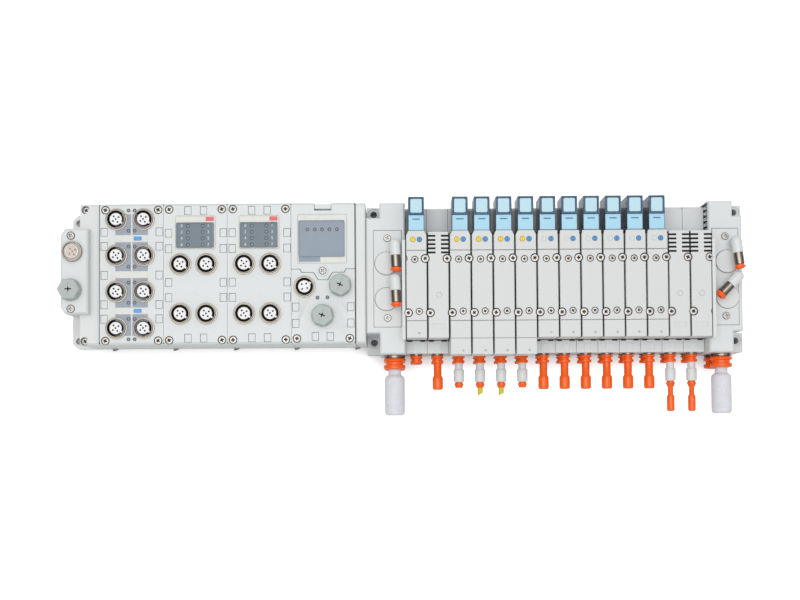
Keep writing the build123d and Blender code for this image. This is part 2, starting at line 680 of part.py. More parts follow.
def socket_insert(x, y, base=UNIT_TOP_Z):
    return upright(x, y, (base, base + SOCKET_PROUD - SOCKET_INSERT_DEPTH), SOCKET_INSERT_RADIUS, TINY_SIDES)


def blanking_cap(x, y, base=UNIT_TOP_Z):
    cap = upright(x, y, (base, base + CAP_FLANGE_HEIGHT), CAP_FLANGE_RADIUS, LARGE_SIDES)
    head_z = (base + CAP_FLANGE_HEIGHT, base + CAP_FLANGE_HEIGHT + CAP_HEIGHT)
    return cap + upright(x, y, head_z, hole_radius(CAP_ACROSS_FLATS / 2, 6), 6)


# End plate, with the foot that bolts it down and the raised power block.

def end_plate():
    x = (UNITS_LEFT_X - END_PLATE_WIDTH, UNITS_LEFT_X - UNIT_GAP)
    plate = across(unit_outline(UNIT_REAR_Y, UNIT_FRONT_Y, END_PLATE_TOP_Z), x)
    foot = slab((UNITS_LEFT_X - FOOT_REACH, x[1] - 2), (UNIT_FRONT_Y, UNIT_REAR_Y), (0, FOOT_HEIGHT))
    foot = chamfer(foot.edges().filter_by(Axis.Z).group_by(Axis.X)[0], FOOT_CORNER)
    for y in (-FOOT_HOLE_Y, FOOT_HOLE_Y):
        foot -= upright(UNITS_LEFT_X - FOOT_HOLE_REACH, y, (-1, FOOT_HEIGHT + 1), MOUNT_HOLE_RADIUS)
    return plate + foot


def power_block():
    """Overlaps the end plate from above and hangs down its outer side."""
    x = [UNITS_LEFT_X - reach for reach in POWER_BLOCK_REACH]
    y = POWER_BLOCK_Y
    dx, dy = POWER_BLOCK_CORNERS
    outline = [(x[0] + dx, y[0]), (x[1], y[0]), (x[1], y[1]), (x[0] + dx, y[1])]
    outline += [(x[0], y[1] - dy), (x[0], y[0] + dy)]
    block = upward(outline, (POWER_BLOCK_SKIRT_Z, POWER_BLOCK_TOP_Z))
    block = chamfer(block.faces().sort_by(Axis.Z)[-1].edges(), POWER_BLOCK_EDGE)
    plate_x = (UNITS_LEFT_X - END_PLATE_WIDTH, UNITS_LEFT_X)
    return block - slab(plate_x, (UNIT_FRONT_Y, UNIT_REAR_Y), (0, END_PLATE_TOP_Z))


def valve_plate():
    outline = unit_outline(END_REAR_Y, UNIT_FRONT_Y, UNIT_TOP_Z - 1)
    return across(outline, (UNITS_RIGHT_X + UNIT_GAP, VALVE_PLATE_RIGHT_X))


os.makedirs("parts", exist_ok=True)

stations = range(1, STATIONS + 1)
valve_stations = [station for station in stations if station not in BLANK_STATIONS]

save("manifold_blocks", *[manifold_block(station) for station in stations])
save("wiring_cover", wiring_cover())
save("tie_rods", tie_rod(-TIE_ROD_Y), tie_rod(TIE_ROD_Y))
save("valve_gaskets", *[gasket(station) for station in stations])
save("valve_bodies", *[valve_body(station) for station in valve_stations])
save("valve_adapters", *[adapter(station) for station in LONG_STATIONS])
save("valve_end_covers", *[end_cover(station) for station in valve_stations])
save("pilot_heads", *[pilot_head(station) for station in valve_stations])
save("indicator_covers", *[indicator_cover(station) for station in valve_stations])
save("blanking_plates", *[blanking_plate(station) for station in BLANK_STATIONS])
for station in valve_stations:
    places = override_places(station)
    save(f"override_{station:02d}_b", override(places[0]))
    if len(places) > 1:
        save(f"override_{station:02d}_a", override(places[1]))
save("end_block_left", end_block(-1))
save("end_block_right", end_block(1))
save("cover_plates", cover_plate(-1), cover_plate(1))
save("elbow_studs", *[elbow_stud(x, y) for x, y, degrees in ELBOWS.values()])
for name, (x, y, degrees) in ELBOWS.items():
    save(name, *elbow(x, y, degrees))
save("port_collars", *[port_collar(station) for station in stations])
save("lower_port_collars", *[port_collar(station, LOWER_PORT_Z) for station in stations])
save("port_plugs", *[port_plug(station) for station in PLUGGED_STATIONS])
save("tube_reducers", *[reducer(station) for station in REDUCED_STATIONS])
save("reducer_rings", *[reducer_ring(station) for station in REDUCED_STATIONS])
stub = [(TUBE_STUB_RADIUS, TUBE_STUB_LENGTH)]
save("tube_stubs", *[forward(station_x(station), RING_END_Y, PORT_Z, stub) for station in TUBED_STATIONS])
plug = [(SMALL_PLUG_RADIUS, SMALL_PLUG_LENGTH)]
save("small_plugs", *[forward(station_x(number), RING_END_Y, PORT_Z, plug) for number in SMALL_PLUG_STATIONS])
save("main_collars", *[main_collar(side, z) for side in (-1, 1) for z in (MAIN_UPPER_Z, MAIN_LOWER_Z)])
save("silencers", silencer(-1), silencer(1))
for name in ("input_unit", "output_unit_1", "output_unit_2"):
    save(name, unit_housing(name))
save("network_unit", network_housing())
save("switch_cover", switch_cover())
save("switch_hinge_pin", switch_hinge_pin())
save("switch_block", switch_block())
save("round_sockets", *[socket(x, y) for x, y in socket_places()])
save("socket_inserts", *[socket_insert(x, y) for x, y in socket_places()])
caps = [blanking_cap(unit_right_x("network_unit") + x, y) for x, y in CAP_PLACES]
power_cap = blanking_cap(UNITS_LEFT_X + POWER_CAP[0], POWER_CAP[1], POWER_BLOCK_TOP_Z)
save("blanking_caps", *caps, power_cap)
save("power_plug", socket(UNITS_LEFT_X + POWER_PLUG[0], POWER_PLUG[1], POWER_BLOCK_TOP_Z))
save("end_plate", end_plate())
save("power_block", power_block())
save("valve_plate", valve_plate())
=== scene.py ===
import math
import bpy
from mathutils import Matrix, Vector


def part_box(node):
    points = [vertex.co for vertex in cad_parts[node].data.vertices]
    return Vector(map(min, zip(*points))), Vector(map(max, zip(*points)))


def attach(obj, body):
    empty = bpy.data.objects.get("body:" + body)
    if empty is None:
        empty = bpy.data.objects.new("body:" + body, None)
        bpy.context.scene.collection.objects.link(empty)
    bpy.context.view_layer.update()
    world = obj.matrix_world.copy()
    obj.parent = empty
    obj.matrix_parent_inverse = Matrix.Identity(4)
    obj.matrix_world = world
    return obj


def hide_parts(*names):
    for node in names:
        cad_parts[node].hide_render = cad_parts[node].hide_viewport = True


# Pneumatic valve island: fourteen valve stations, two end blocks, and four input and output units.
# Lengths in this file are millimetres, and MM carries them to Blender's metres.
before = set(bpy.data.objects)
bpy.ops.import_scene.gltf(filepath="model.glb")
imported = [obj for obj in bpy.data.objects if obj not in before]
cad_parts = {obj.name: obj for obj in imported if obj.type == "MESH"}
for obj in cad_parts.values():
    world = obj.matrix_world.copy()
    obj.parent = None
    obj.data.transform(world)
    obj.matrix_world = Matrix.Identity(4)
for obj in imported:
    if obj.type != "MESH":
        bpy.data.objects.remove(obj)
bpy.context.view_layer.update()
MM = 0.001
stations = range(1, 15)
blank_stations = (2, 13, 14)
valve_stations = [s for s in stations if s not in blank_stations]
double_coil = (1, 3, 4, 5, 6)
long_valves = (3, 4, 5, 6)


def station_x(station):
    return -114.5 + (station - 0.5) * 16.0


# Camera: almost straight above the island, a little in front of the tube ports.
camera_data = bpy.data.cameras.new("camera")
camera_data.sensor_width = 36
camera_data.lens = 57.38
camera_data.shift_y = 0.0965
camera = bpy.data.objects.new("camera", camera_data)
bpy.context.scene.collection.objects.link(camera)
camera.location = (-119.26 * MM, -109.95 * MM, 994.2 * MM)
camera.rotation_euler = (math.radians(2.0), 0, math.radians(-0.376))
bpy.context.scene.camera = camera
bpy.context.scene.view_settings.view_transform = "Standard"


# Studio: a white sky with darker walls, one broad lamp overhead, and a white table that
# the island lies on. The table fades to shade in narrow places under the island.
def linear(colour):
    """An sRGB hex colour as the linear values that a shader takes."""
    parts = [int(colour[i:i + 2], 16) / 255 for i in (1, 3, 5)]
    return [c / 12.92 if c < 0.04045 else ((c + 0.055) / 1.055) ** 2.4 for c in parts] + [1.0]


def add(tree, kind, inputs, **settings):
    """Adds one node. An input is a value, or the output of another node to link."""
    node = tree.nodes.new(kind)
    for name, value in settings.items():
        setattr(node, name, value)
    for name, value in inputs.items():
        if isinstance(value, bpy.types.NodeSocket):
            tree.links.new(value, node.inputs[name])
        else:
            node.inputs[name].default_value = value
    return node


def seen_by_eye(tree, mirrored=1.0):
    """One for rays of the camera, mirrored for reflections and windows, and nothing for light."""
    path = add(tree, "ShaderNodeLightPath", {})
    bounced = add(tree, "ShaderNodeMath", {0: path.outputs["Is Glossy Ray"],
                  1: path.outputs["Is Transmission Ray"]}, operation="MAXIMUM")
    dimmed = add(tree, "ShaderNodeMath", {0: bounced.outputs[0], 1: mirrored}, operation="MULTIPLY")
    return add(tree, "ShaderNodeMath", {0: dimmed.outputs[0],
               1: path.outputs["Is Camera Ray"]}, operation="MAXIMUM").outputs[0]


world = bpy.data.worlds.new("white_sky")
bpy.context.scene.world = world
world.use_nodes = True
sky = world.node_tree
sky.nodes.clear()
sky_light = add(sky, "ShaderNodeBackground", {"Color": linear("#ffffff"), "Strength": 0.68})
ray = add(sky, "ShaderNodeTexCoord", {}).outputs["Generated"]
ray_height = add(sky, "ShaderNodeSeparateXYZ", {"Vector": ray}).outputs["Z"]
ceiling = add(sky, "ShaderNodeMapRange", {"Value": ray_height, "From Min": 0.25, "From Max": 0.9,
              "To Min": 0.07, "To Max": 1.0})
sky_seen = add(sky, "ShaderNodeBackground", {"Color": linear("#ffffff"),
               "Strength": seen_by_eye(sky, ceiling.outputs[0])})
sky_mix = add(sky, "ShaderNodeMixShader", {0: seen_by_eye(sky), 1: sky_light.outputs[0],
              2: sky_seen.outputs[0]})
add(sky, "ShaderNodeOutputWorld", {"Surface": sky_mix.outputs[0]})

lamp_data = bpy.data.lights.new("soft_box", "AREA")
lamp_data.shape = "RECTANGLE"
lamp_data.size = 1.6
lamp_data.size_y = 1.2
lamp_data.energy = 12.5
lamp = bpy.data.objects.new("soft_box", lamp_data)
bpy.context.scene.collection.objects.link(lamp)
lamp.location = (-0.18, 0.06, 1.8)
lamp.rotation_euler = (math.radians(4), math.radians(-2), 0)

bpy.ops.object.select_all(action="DESELECT")
bpy.ops.mesh.primitive_plane_add(size=6, location=(-0.11, 0, -0.0003))
table_top = bpy.context.object
table_top.name = "table_top"
table_top_white = bpy.data.materials.new("laminate_white")
table_top_white.use_nodes = True
tree = table_top_white.node_tree
tree.nodes.clear()
matt = add(tree, "ShaderNodeBsdfDiffuse", {"Color": linear("#c8c8c8")})
shade = add(tree, "ShaderNodeAmbientOcclusion", {"Distance": 16 * MM})
open_table = add(tree, "ShaderNodeMath", {0: shade.outputs["AO"], 1: 0.9}, operation="MULTIPLY")
glow = add(tree, "ShaderNodeEmission", {"Color": linear("#ffffff"),
           "Strength": open_table.outputs[0]})
none = add(tree, "ShaderNodeEmission", {"Strength": 0.0})
shown = add(tree, "ShaderNodeMixShader", {0: seen_by_eye(tree, 0.35), 1: none.outputs[0],
            2: glow.outputs[0]})
both = add(tree, "ShaderNodeAddShader", {0: matt.outputs[0], 1: shown.outputs[0]})
add(tree, "ShaderNodeOutputMaterial", {"Surface": both.outputs[0]})
table_top.data.materials.append(table_top_white)


# Manifold blocks: one glass filled polyamide moulding for each station, clamped side by side.
# Their front deck shows between the valves and the tube ports, each with a clear marker on it.
def moulded(name, colour, roughness=0.45, grain=0.9, relief=0.05, tone=0.96, clear=0.0):
    """Injection moulded plastic: an even colour that drifts a little across a moulding, and a
    fine spark-eroded grain, drawn about twice as coarse as the real one so that it shows."""
    material = bpy.data.materials.new(name)
    material.use_nodes = True
    tree = material.node_tree
    tree.nodes.clear()
    place = add(tree, "ShaderNodeTexCoord", {}).outputs["Object"]
    drift = add(tree, "ShaderNodeTexNoise", {"Vector": place, "Scale": 1 / (38 * MM), "Detail": 2.0})
    shade = [c * tone for c in linear(colour)[:3]] + [1.0]
    surface = add(tree, "ShaderNodeMixRGB", {"Fac": drift.outputs["Fac"], "Color1": linear(colour),
                  "Color2": shade})
    fine = add(tree, "ShaderNodeTexNoise", {"Vector": place, "Scale": 1 / (grain * MM),
               "Detail": 3.0, "Roughness": 0.6})
    matt = add(tree, "ShaderNodeMapRange", {"Value": fine.outputs["Fac"], "To Min": roughness - 0.05,
               "To Max": roughness + 0.07})
    bump = add(tree, "ShaderNodeBump", {"Height": fine.outputs["Fac"], "Strength": relief,
               "Distance": 0.2 * MM})
    shader = add(tree, "ShaderNodeBsdfPrincipled", {"Base Color": surface.outputs[0],
                 "Roughness": matt.outputs[0], "Normal": bump.outputs[0], "IOR": 1.5,
                 "Transmission Weight": clear})
    add(tree, "ShaderNodeOutputMaterial", {"Surface": shader.outputs[0]})
    return material


def dress(node, material, edge=0.35):
    """Gives a CAD node its finish and the small rounded edges of a moulding."""
    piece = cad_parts[node]
    for slot in piece.material_slots:
        slot.material = material
    if edge:
        weld = piece.modifiers.new("weld", "WELD")
        weld.merge_threshold = 0.002 * MM
        bevel = piece.modifiers.new("edges", "BEVEL")
        bevel.limit_method = "ANGLE"
        bevel.angle_limit = math.radians(32)
        bevel.width = edge * MM
        bevel.segments = 2


def select_only(*pieces):
    bpy.ops.object.select_all(action="DESELECT")
    for piece in pieces:
        piece.select_set(True)
    bpy.context.view_layer.objects.active = pieces[0]


def block(name, x, y, z):
    """A block between a low and a high value on each axis, for shaping."""
    bpy.ops.object.select_all(action="DESELECT")
    bpy.ops.mesh.primitive_cube_add(size=1, location=[(a + b) / 2 * MM for a, b in (x, y, z)])
    piece = bpy.context.object
    piece.name = name
    piece.scale = [(b - a) * MM for a, b in (x, y, z)]
    bpy.ops.object.transform_apply(location=True, rotation=True, scale=True)
    return piece


def round_edges(piece, width, segments=2, angle=32):
    """Rounds the edges of a moulded or turned piece and shades it smoothly."""
    select_only(piece)
    bevel = piece.modifiers.new("edges", "BEVEL")
    bevel.limit_method = "ANGLE"
    bevel.angle_limit = math.radians(angle)
    bevel.width = width * MM
    bevel.segments = segments
    bpy.ops.object.modifier_apply(modifier="edges")
    bpy.ops.object.shade_smooth_by_angle(angle=math.radians(45))
    piece.modifiers.new("shading", "WEIGHTED_NORMAL").keep_sharp = True
    bpy.ops.object.modifier_apply(modifier="shading")


def set_copies(model, name, places):
    """Copies of one modelled piece, each with its own mesh, set at (x, y, z, turn) and joined."""
    pieces = []
    for x, y, z, turn in places:
        select_only(model)
        bpy.ops.object.duplicate(linked=False)
        piece = bpy.context.object
        piece.location = (x * MM, y * MM, z * MM)
        piece.rotation_euler = [math.radians(angle) for angle in turn]
        bpy.ops.object.transform_apply(location=True, rotation=True, scale=True)
        pieces.append(piece)
    select_only(*pieces)
    if len(pieces) > 1:
        bpy.ops.object.join()
    bpy.data.objects.remove(model)
    pieces[0].name = name
    return pieces[0]


def fit(piece, body, material=None):
    """Gives a new piece its finish, if it has none yet, and the moving body that carries it."""
    if material:
        piece.data.materials.clear()
        piece.data.materials.append(material)
    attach(piece, body)


grey_polyamide = moulded("polyamide_glass_filled_grey", "#dfe1e1")
clear_marker = moulded("polycarbonate_clear_marker", "#d5dbda", roughness=0.2, relief=0.01)
dress("manifold_blocks", grey_polyamide)
marker = block("marker", (-2.6, 2.6), (-2.9, 2.9), (0, 0.6))
round_edges(marker, 0.3)
markers = set_copies(marker, "deck_markers", [(station_x(s), -54.6, 39.6, (0, 0, 0)) for s in stations
                     if s not in long_valves])
fit(markers, "island", clear_marker)


# Wiring cover: a grey polyamide channel behind the valves, in lengths that clip end to end.
seams = []
dress("wiring_cover", grey_polyamide, 0.5)
for station in stations[1:]:
    seams.append((station_x(station) - 8.0, 40.0, 42.0, (0, 0, 0)))
# A dark strip at each joint between lengths is painted shade of the joint.
seam = block("seam", (-0.18, 0.18), (-9.6, 9.4), (-0.5, 0.06))
round_edges(seam, 0.05, 1)
shadow_gap = moulded("polyamide_joint_shadow", "#7b7f88", roughness=0.7)
fit(set_copies(seam, "wiring_cover_joint_shades", seams), "island", shadow_gap)


# Gaskets and tie rods: black nitrile rubber under each valve, and two plated steel rods below.
def turned_metal(name, colour, roughness, groove=0.35):
    """Turned or plated metal: bright, with the fine rings of the tool, drawn twice as coarse."""
    material = bpy.data.materials.new(name)
    material.use_nodes = True
    tree = material.node_tree
    tree.nodes.clear()
    place = add(tree, "ShaderNodeTexCoord", {}).outputs["Object"]
    rings = add(tree, "ShaderNodeTexWave", {"Vector": place, "Scale": 1 / (groove * 6 * MM),
                "Distortion": 1.2, "Detail": 1.0}, bands_direction="Y")
    cloud = add(tree, "ShaderNodeTexNoise", {"Vector": place, "Scale": 1 / (3.5 * MM), "Detail": 3.0})
    worn = [c * 0.86 for c in linear(colour)[:3]] + [1.0]
    tone = add(tree, "ShaderNodeMixRGB", {"Fac": cloud.outputs["Fac"], "Color1": linear(colour),
               "Color2": worn})
    matt = add(tree, "ShaderNodeMapRange", {"Value": cloud.outputs["Fac"], "To Min": roughness - 0.06,
               "To Max": roughness + 0.1})
    bump = add(tree, "ShaderNodeBump", {"Height": rings.outputs["Fac"], "Strength": 0.06,
               "Distance": 0.05 * MM})
    shader = add(tree, "ShaderNodeBsdfPrincipled", {"Base Color": tone.outputs[0], "Metallic": 1.0,
                 "Roughness": matt.outputs[0], "Normal": bump.outputs[0]})
    add(tree, "ShaderNodeOutputMaterial", {"Surface": shader.outputs[0]})
    return material


zinc_steel = turned_metal("steel_zinc_plated", "#a8a5a1", 0.34)
nickel_brass = turned_metal("brass_nickel_plated", "#928a80", 0.14)
# This black is real rubber on the gaskets and seals, and painted shade in gaps, slots and holes elsewhere.
black_rubber_and_shade = moulded("nitrile_rubber_black_and_painted_shade", "#16171a", roughness=0.85, relief=0.1)
dress("valve_gaskets", black_rubber_and_shade, 0)
# Two small black tabs in front of each short valve are painted shade of the gaps under its front edge.
deck_notch_shade = block("deck_notch_shade", (-1.9, 1.9), (-50.2, -49.2), (39.4, 41.0))
round_edges(deck_notch_shade, 0.2, 1)
deck_notch_shades = set_copies(deck_notch_shade, "deck_notch_shades", [(station_x(s) + x, 0, 0, (0, 0, 0))
                         for s in stations if s not in long_valves for x in (-4.9, 4.6)])
fit(deck_notch_shades, "island", black_rubber_and_shade)
dress("tie_rods", zinc_steel, 0)


# Valve bodies: polyamide mouldings with a chamfered top, clamped down by cross-head screws that
# sit in round pockets shared with the neighbour. Long valves have one more length in front.
def cut(piece, tool):
    """Takes a tool's shape out of a piece, as a mould's core would."""
    select_only(piece)
    hollow = piece.modifiers.new("hollow", "BOOLEAN")
    hollow.operation = "DIFFERENCE"
    hollow.solver = "EXACT"
    hollow.object = tool
    bpy.ops.object.modifier_apply(modifier="hollow")
    bpy.data.objects.remove(tool)


def turned(name, steps, sides=40):
    """A round piece standing at the origin, drawn out through (height, radius) steps."""
    bpy.ops.object.select_all(action="DESELECT")
    height, radius = steps[0]
    bpy.ops.mesh.primitive_circle_add(vertices=sides, radius=radius * MM, fill_type="NGON",
                                      location=(0, 0, height * MM))
    piece = bpy.context.object
    piece.name = name
    bpy.ops.object.transform_apply(location=True, rotation=True, scale=True)
    bpy.ops.object.mode_set(mode="EDIT")
    bpy.ops.mesh.select_all(action="SELECT")
    for new_height, new_radius in steps[1:]:
        rise = (0, 0, (new_height - height) * MM)
        bpy.ops.mesh.extrude_region_move(TRANSFORM_OT_translate={"value": rise})
        grow = new_radius / radius
        bpy.ops.transform.resize(value=(grow, grow, 1), center_override=(0, 0, new_height * MM))
        height, radius = new_height, new_radius
    bpy.ops.mesh.select_all(action="SELECT")
    bpy.ops.mesh.normals_make_consistent(inside=False)
    bpy.ops.object.mode_set(mode="OBJECT")
    bpy.ops.object.shade_smooth_by_angle(angle=math.radians(35))
    return piece


def all_rounds(name, radius, z, places, sides=32):
    """Round cutters of one size, standing at (x, y) places."""
    post = turned(name, [(z[0], radius), (z[1], radius)], sides)
    return set_copies(post, name, [(x, y, 0, (0, 0, 0)) for x, y in places])


clamp_places = [(6.4, 9.0), (-9.6, 9.0), (-6.1, -30.7), (9.9, -30.7)]
screw_places = [(-1.2, 8.3), (1.8, -29.7)]


def valve_length(name, y, top, base=36.8):
    """A length of valve between two places along the valve, with its chamfered upper edges."""
    piece = block(name, (-7.45, 7.45), y, (base, top))
    bpy.ops.object.mode_set(mode="EDIT")
    bpy.ops.mesh.select_all(action="DESELECT")
    bpy.ops.object.mode_set(mode="OBJECT")
    for edge in piece.data.edges:
        ends = [piece.data.vertices[v].co for v in edge.vertices]
        along = abs(ends[0].y - ends[1].y) > 0.001
        edge.select = along and min(end.z for end in ends) > (top - 0.1) * MM
    bpy.ops.object.mode_set(mode="EDIT")
    bpy.ops.mesh.select_mode(type="EDGE")
    bpy.ops.mesh.bevel(offset=0.7 * MM, segments=3, affect="EDGES")
    bpy.ops.object.mode_set(mode="OBJECT")
    return piece


body = valve_length("valve_body", (-36.5, 15.0), 68.0)
cut(body, all_rounds("pockets", 3.3, (62.4, 70), clamp_places))
cut(body, all_rounds("recesses", 2.65, (65.5, 70), screw_places))
round_edges(body, 0.2)
valves = set_copies(body, "valve_bodies_moulded", [(station_x(s), 0, 0, (0, 0, 0))
                    for s in valve_stations])
valve_grey = moulded("polyamide_glass_filled_light_grey", "#d8dad9")
fit(valves, "island", valve_grey)
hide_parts("valve_bodies")

short_end = valve_length("short_end", (-48.9, -36.7), 68.0)
cut(short_end, all_rounds("test_hole", 0.75, (66.5, 70), [(1.9, -45.6)], 16))
round_edges(short_end, 0.25)
adapter = valve_length("adapter", (-49.3, -36.7), 68.0)
round_edges(adapter, 0.25)
long_end = valve_length("long_end", (-61.2, -49.5), 68.0, 40.2)
cut(long_end, all_rounds("test_hole", 0.75, (66.5, 70), [(1.9, -58.5)], 16))
round_edges(long_end, 0.25)
short_ends = set_copies(short_end, "short_end_covers", [(station_x(s), 0, 0, (0, 0, 0))
                        for s in valve_stations if s not in long_valves])
long_ends = set_copies(long_end, "long_end_covers", [(station_x(s), 0, 0, (0, 0, 0))
                       for s in long_valves])
adapters = set_copies(adapter, "adapters_moulded", [(station_x(s), 0, 0, (0, 0, 0))
                      for s in long_valves])
for piece in (short_ends, long_ends, adapters):
    fit(piece, "island", valve_grey)
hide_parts("valve_end_covers")
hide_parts("valve_end_covers")
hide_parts("valve_adapters")


# Pilot heads: polyamide mouldings at the rear of each valve that narrow behind the two overrides.
# A single-coil valve has a moulded blank ring where the second override would be.
def pilot_head(name, holes):
    head = valve_length(name, (15.2, 29.3), 68.0)
    bpy.ops.object.mode_set(mode="EDIT")
    bpy.ops.mesh.select_all(action="SELECT")
    bpy.ops.mesh.bisect(plane_co=(0, 26.1 * MM, 0), plane_no=(0, 1, 0))
    bpy.ops.mesh.select_all(action="DESELECT")
    bpy.ops.object.mode_set(mode="OBJECT")
    for vertex in head.data.vertices:
        vertex.select = vertex.co.y > 29 * MM
    bpy.ops.object.mode_set(mode="EDIT")
    bpy.ops.mesh.select_mode(type="VERT")
    bpy.ops.transform.resize(value=(5.8 / 7.45, 1, 1), center_override=(0, 0, 0))
    bpy.ops.object.mode_set(mode="OBJECT")
    cut(head, all_rounds("override_holes", 1.95, (60.0, 70), [(x, 22.9) for x in holes], 24))
    if len(holes) == 1:
        ring = turned("blank_ring", [(67.75, 1.95), (70, 1.95), (70, 1.6), (67.75, 1.6)], 24)
        blank = set_copies(ring, "blank_ring", [(-2.5, 22.9, 0, (0, 0, 0))])
        cut(head, blank)
    round_edges(head, 0.2)
    return head


double_heads = set_copies(pilot_head("double_head", (-2.5, 2.3)), "double_pilot_heads",
                          [(station_x(s), 0, 0, (0, 0, 0)) for s in double_coil])
single_heads = set_copies(pilot_head("single_head", (2.3,)), "single_pilot_heads",
                          [(station_x(s), 0, 0, (0, 0, 0)) for s in valve_stations
                           if s not in double_coil])
for piece in (double_heads, single_heads):
    fit(piece, "island", valve_grey)
    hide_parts("pilot_heads")


# Manual overrides: slotted acetal buttons, blue for coil b and yellow for coil a, pressed with a
# small screwdriver. Each one slides in its pilot head.
blue_acetal = moulded("acetal_moulded_blue", "#3f93cf", roughness=0.35, relief=0.02)
yellow_acetal = moulded("acetal_moulded_yellow", "#f6d014", roughness=0.35, relief=0.02)
for station in valve_stations:
    sides = [("b", 2.3, "override_blue", blue_acetal)]
    if station in double_coil:
        sides.append(("a", -2.5, "override_yellow", yellow_acetal))
    for letter, shift, slot, finish in sides:
        node = f"override_{station:02d}_{letter}"
        button = turned("button", [(65.0, 1.55), (65.0, 1.78), (68.0, 1.78), (68.2, 1.55)], 24)
        cut(button, block("slot", (-0.35, 0.35), (-1.25, 1.25), (67.6, 69)))
        button = set_copies(button, f"button_{station:02d}_{letter}",
                            [(station_x(station) + shift, 22.9, 0, (0, 0, 0))])
        fit(button, node, finish)
        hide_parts(node)


# Clamp screws and valve screws: zinc plated pan heads with a cross recess, M3 and M2.6.
# The cross recess takes a dark steel as painted shade of its depth.
recess_shade_steel = turned_metal("steel_recess_painted_shade", "#4c4845", 0.6)


def cross_screw(name, radius, height):
    """A flat pan head with a cross recess, its underside at the origin."""
    head = turned(name, [(0, radius * 0.96), (height - radius * 0.2, radius), (height, radius * 0.84),
                  (height + 0.05, radius * 0.4)], 32)
    for turn in (25, 115):
        arm = block("recess", (-radius * 0.66, radius * 0.66), (-radius * 0.19, radius * 0.19),
                    (height - radius * 0.5, height * 2))
        for vertex in arm.data.vertices:
            if vertex.co.z < height * MM:
                vertex.co.x *= 0.6
        arm = set_copies(arm, "recess", [(0, 0, 0, (0, 0, turn))])
        cut(head, arm)
    # Faces deep in the recess take the dark steel, painted shade.
    for finish in (zinc_steel, recess_shade_steel):
        head.data.materials.append(finish)
    for face in head.data.polygons:
        inside = math.hypot(face.center.x, face.center.y) < radius * 0.72 * MM
        deep = height * 0.1 * MM < face.center.z < (height - radius * 0.04) * MM
        face.material_index = 1 if inside and deep else 0
    return head


clamp_spots = [(station_x(s) + x, y, 62.5 if s not in blank_stations else 61.5, (0, 0, turn * s))
               for x, y, turn in ((6.4, 9.0, 31), (-6.1, -30.7, 47)) for s in stations]
clamp_screws = set_copies(cross_screw("clamp_screw", 2.9, 4.8), "clamp_screws", clamp_spots)
fit(clamp_screws, "island")
small_spots = [(station_x(s) + x, y, 65.6, (0, 0, 23 * s)) for s in valve_stations
               for x, y in screw_places]
valve_screws = set_copies(cross_screw("valve_screw", 2.3, 2.2), "valve_screws", small_spots)
fit(valve_screws, "island")


# Gap shade: black strips low between the valves over the deck, painted shade of the deep narrow gaps.
valve_gap_shade = block("valve_gap_shade", (-0.42, 0.42), (-48.6, 28.0), (44.0, 65.0))
round_edges(valve_gap_shade, 0.1, 1)
valve_gap_shades = set_copies(valve_gap_shade, "valve_gap_shade_strips", [(station_x(s) + 8.0, 0, 0, (0, 0, 0))
                       for s in stations[:-1]])
fit(valve_gap_shades, "island", black_rubber_and_shade)


# Indicator covers: tinted polycarbonate caps over the coils, with a clear window at the rear and a
# pale label face in front of it. The dash on the label is plain.
cap = block("cap", (-5.8, 5.8), (29.5, 54.4), (42.2, 66.2))
bpy.ops.object.mode_set(mode="EDIT")
bpy.ops.mesh.select_all(action="SELECT")
bpy.ops.mesh.bisect(plane_co=(0, 41.2 * MM, 0), plane_no=(0, 1, 0))
bpy.ops.object.mode_set(mode="OBJECT")
bpy.ops.object.mode_set(mode="EDIT")
bpy.ops.mesh.select_mode(type="FACE")
bpy.ops.mesh.select_all(action="DESELECT")
bpy.ops.object.mode_set(mode="OBJECT")
for face in cap.data.polygons:
    face.select = face.normal.z > 0.9 and face.center.y > 41.2 * MM
bpy.ops.object.mode_set(mode="EDIT")
bpy.ops.mesh.extrude_region_move(TRANSFORM_OT_translate={"value": (0, 0, 1.2 * MM)})
bpy.ops.mesh.inset(thickness=1.25 * MM, depth=0)
bpy.ops.mesh.extrude_region_move(TRANSFORM_OT_translate={"value": (0, 0, -0.5 * MM)})
bpy.ops.object.mode_set(mode="OBJECT")
round_edges(cap, 0.55, 3)
tinted = moulded("polycarbonate_tinted_blue", "#1a4d70", roughness=0.16, relief=0.01, clear=0.12)
caps = set_copies(cap, "indicator_caps", [(station_x(s), 0, 0, (0, 0, 0)) for s in valve_stations])
fit(caps, "island", tinted)
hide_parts("indicator_covers")

window = block("window", (-4.25, 4.25), (42.6, 52.9), (66.5, 67.15))
bpy.ops.object.mode_set(mode="EDIT")
bpy.ops.mesh.select_mode(type="EDGE")
bpy.ops.mesh.select_all(action="DESELECT")
bpy.ops.object.mode_set(mode="OBJECT")
for edge in window.data.edges:
    ends = [window.data.vertices[v].co for v in edge.vertices]
    edge.select = abs(ends[0].z - ends[1].z) > 0.1 * MM
bpy.ops.object.mode_set(mode="EDIT")
bpy.ops.mesh.bevel(offset=1.1 * MM, segments=5, affect="EDGES")
bpy.ops.object.mode_set(mode="OBJECT")
round_edges(window, 0.25)
clear_window = moulded("polycarbonate_clear_blue", "#b5d9e6", roughness=0.14, relief=0.01)
windows = set_copies(window, "indicator_windows", [(station_x(s), 0, 0, (0, 0, 0))
                     for s in valve_stations])
fit(windows, "island", clear_window)

label = block("label", (-5.5, 5.5), (29.9, 41.0), (66.0, 66.3))
round_edges(label, 0.12)
pale_blue = moulded("polycarbonate_label_pale_blue", "#a6d6ec", roughness=0.32, relief=0.02)
labels = set_copies(label, "indicator_labels", [(station_x(s), 0, 0, (0, 0, 0))
                    for s in valve_stations])
fit(labels, "island", pale_blue)
dash = block("dash", (-2.7, 2.7), (37.6, 38.5), (66.2, 66.33))
round_edges(dash, 0.05, 1)
ink = moulded("pad_printed_ink_blue", "#2f6f92", roughness=0.5, relief=0.0)
dashes = set_copies(dash, "label_dashes", [(station_x(s), 0, 0, (0, 0, 0)) for s in valve_stations])
fit(dashes, "island", ink)


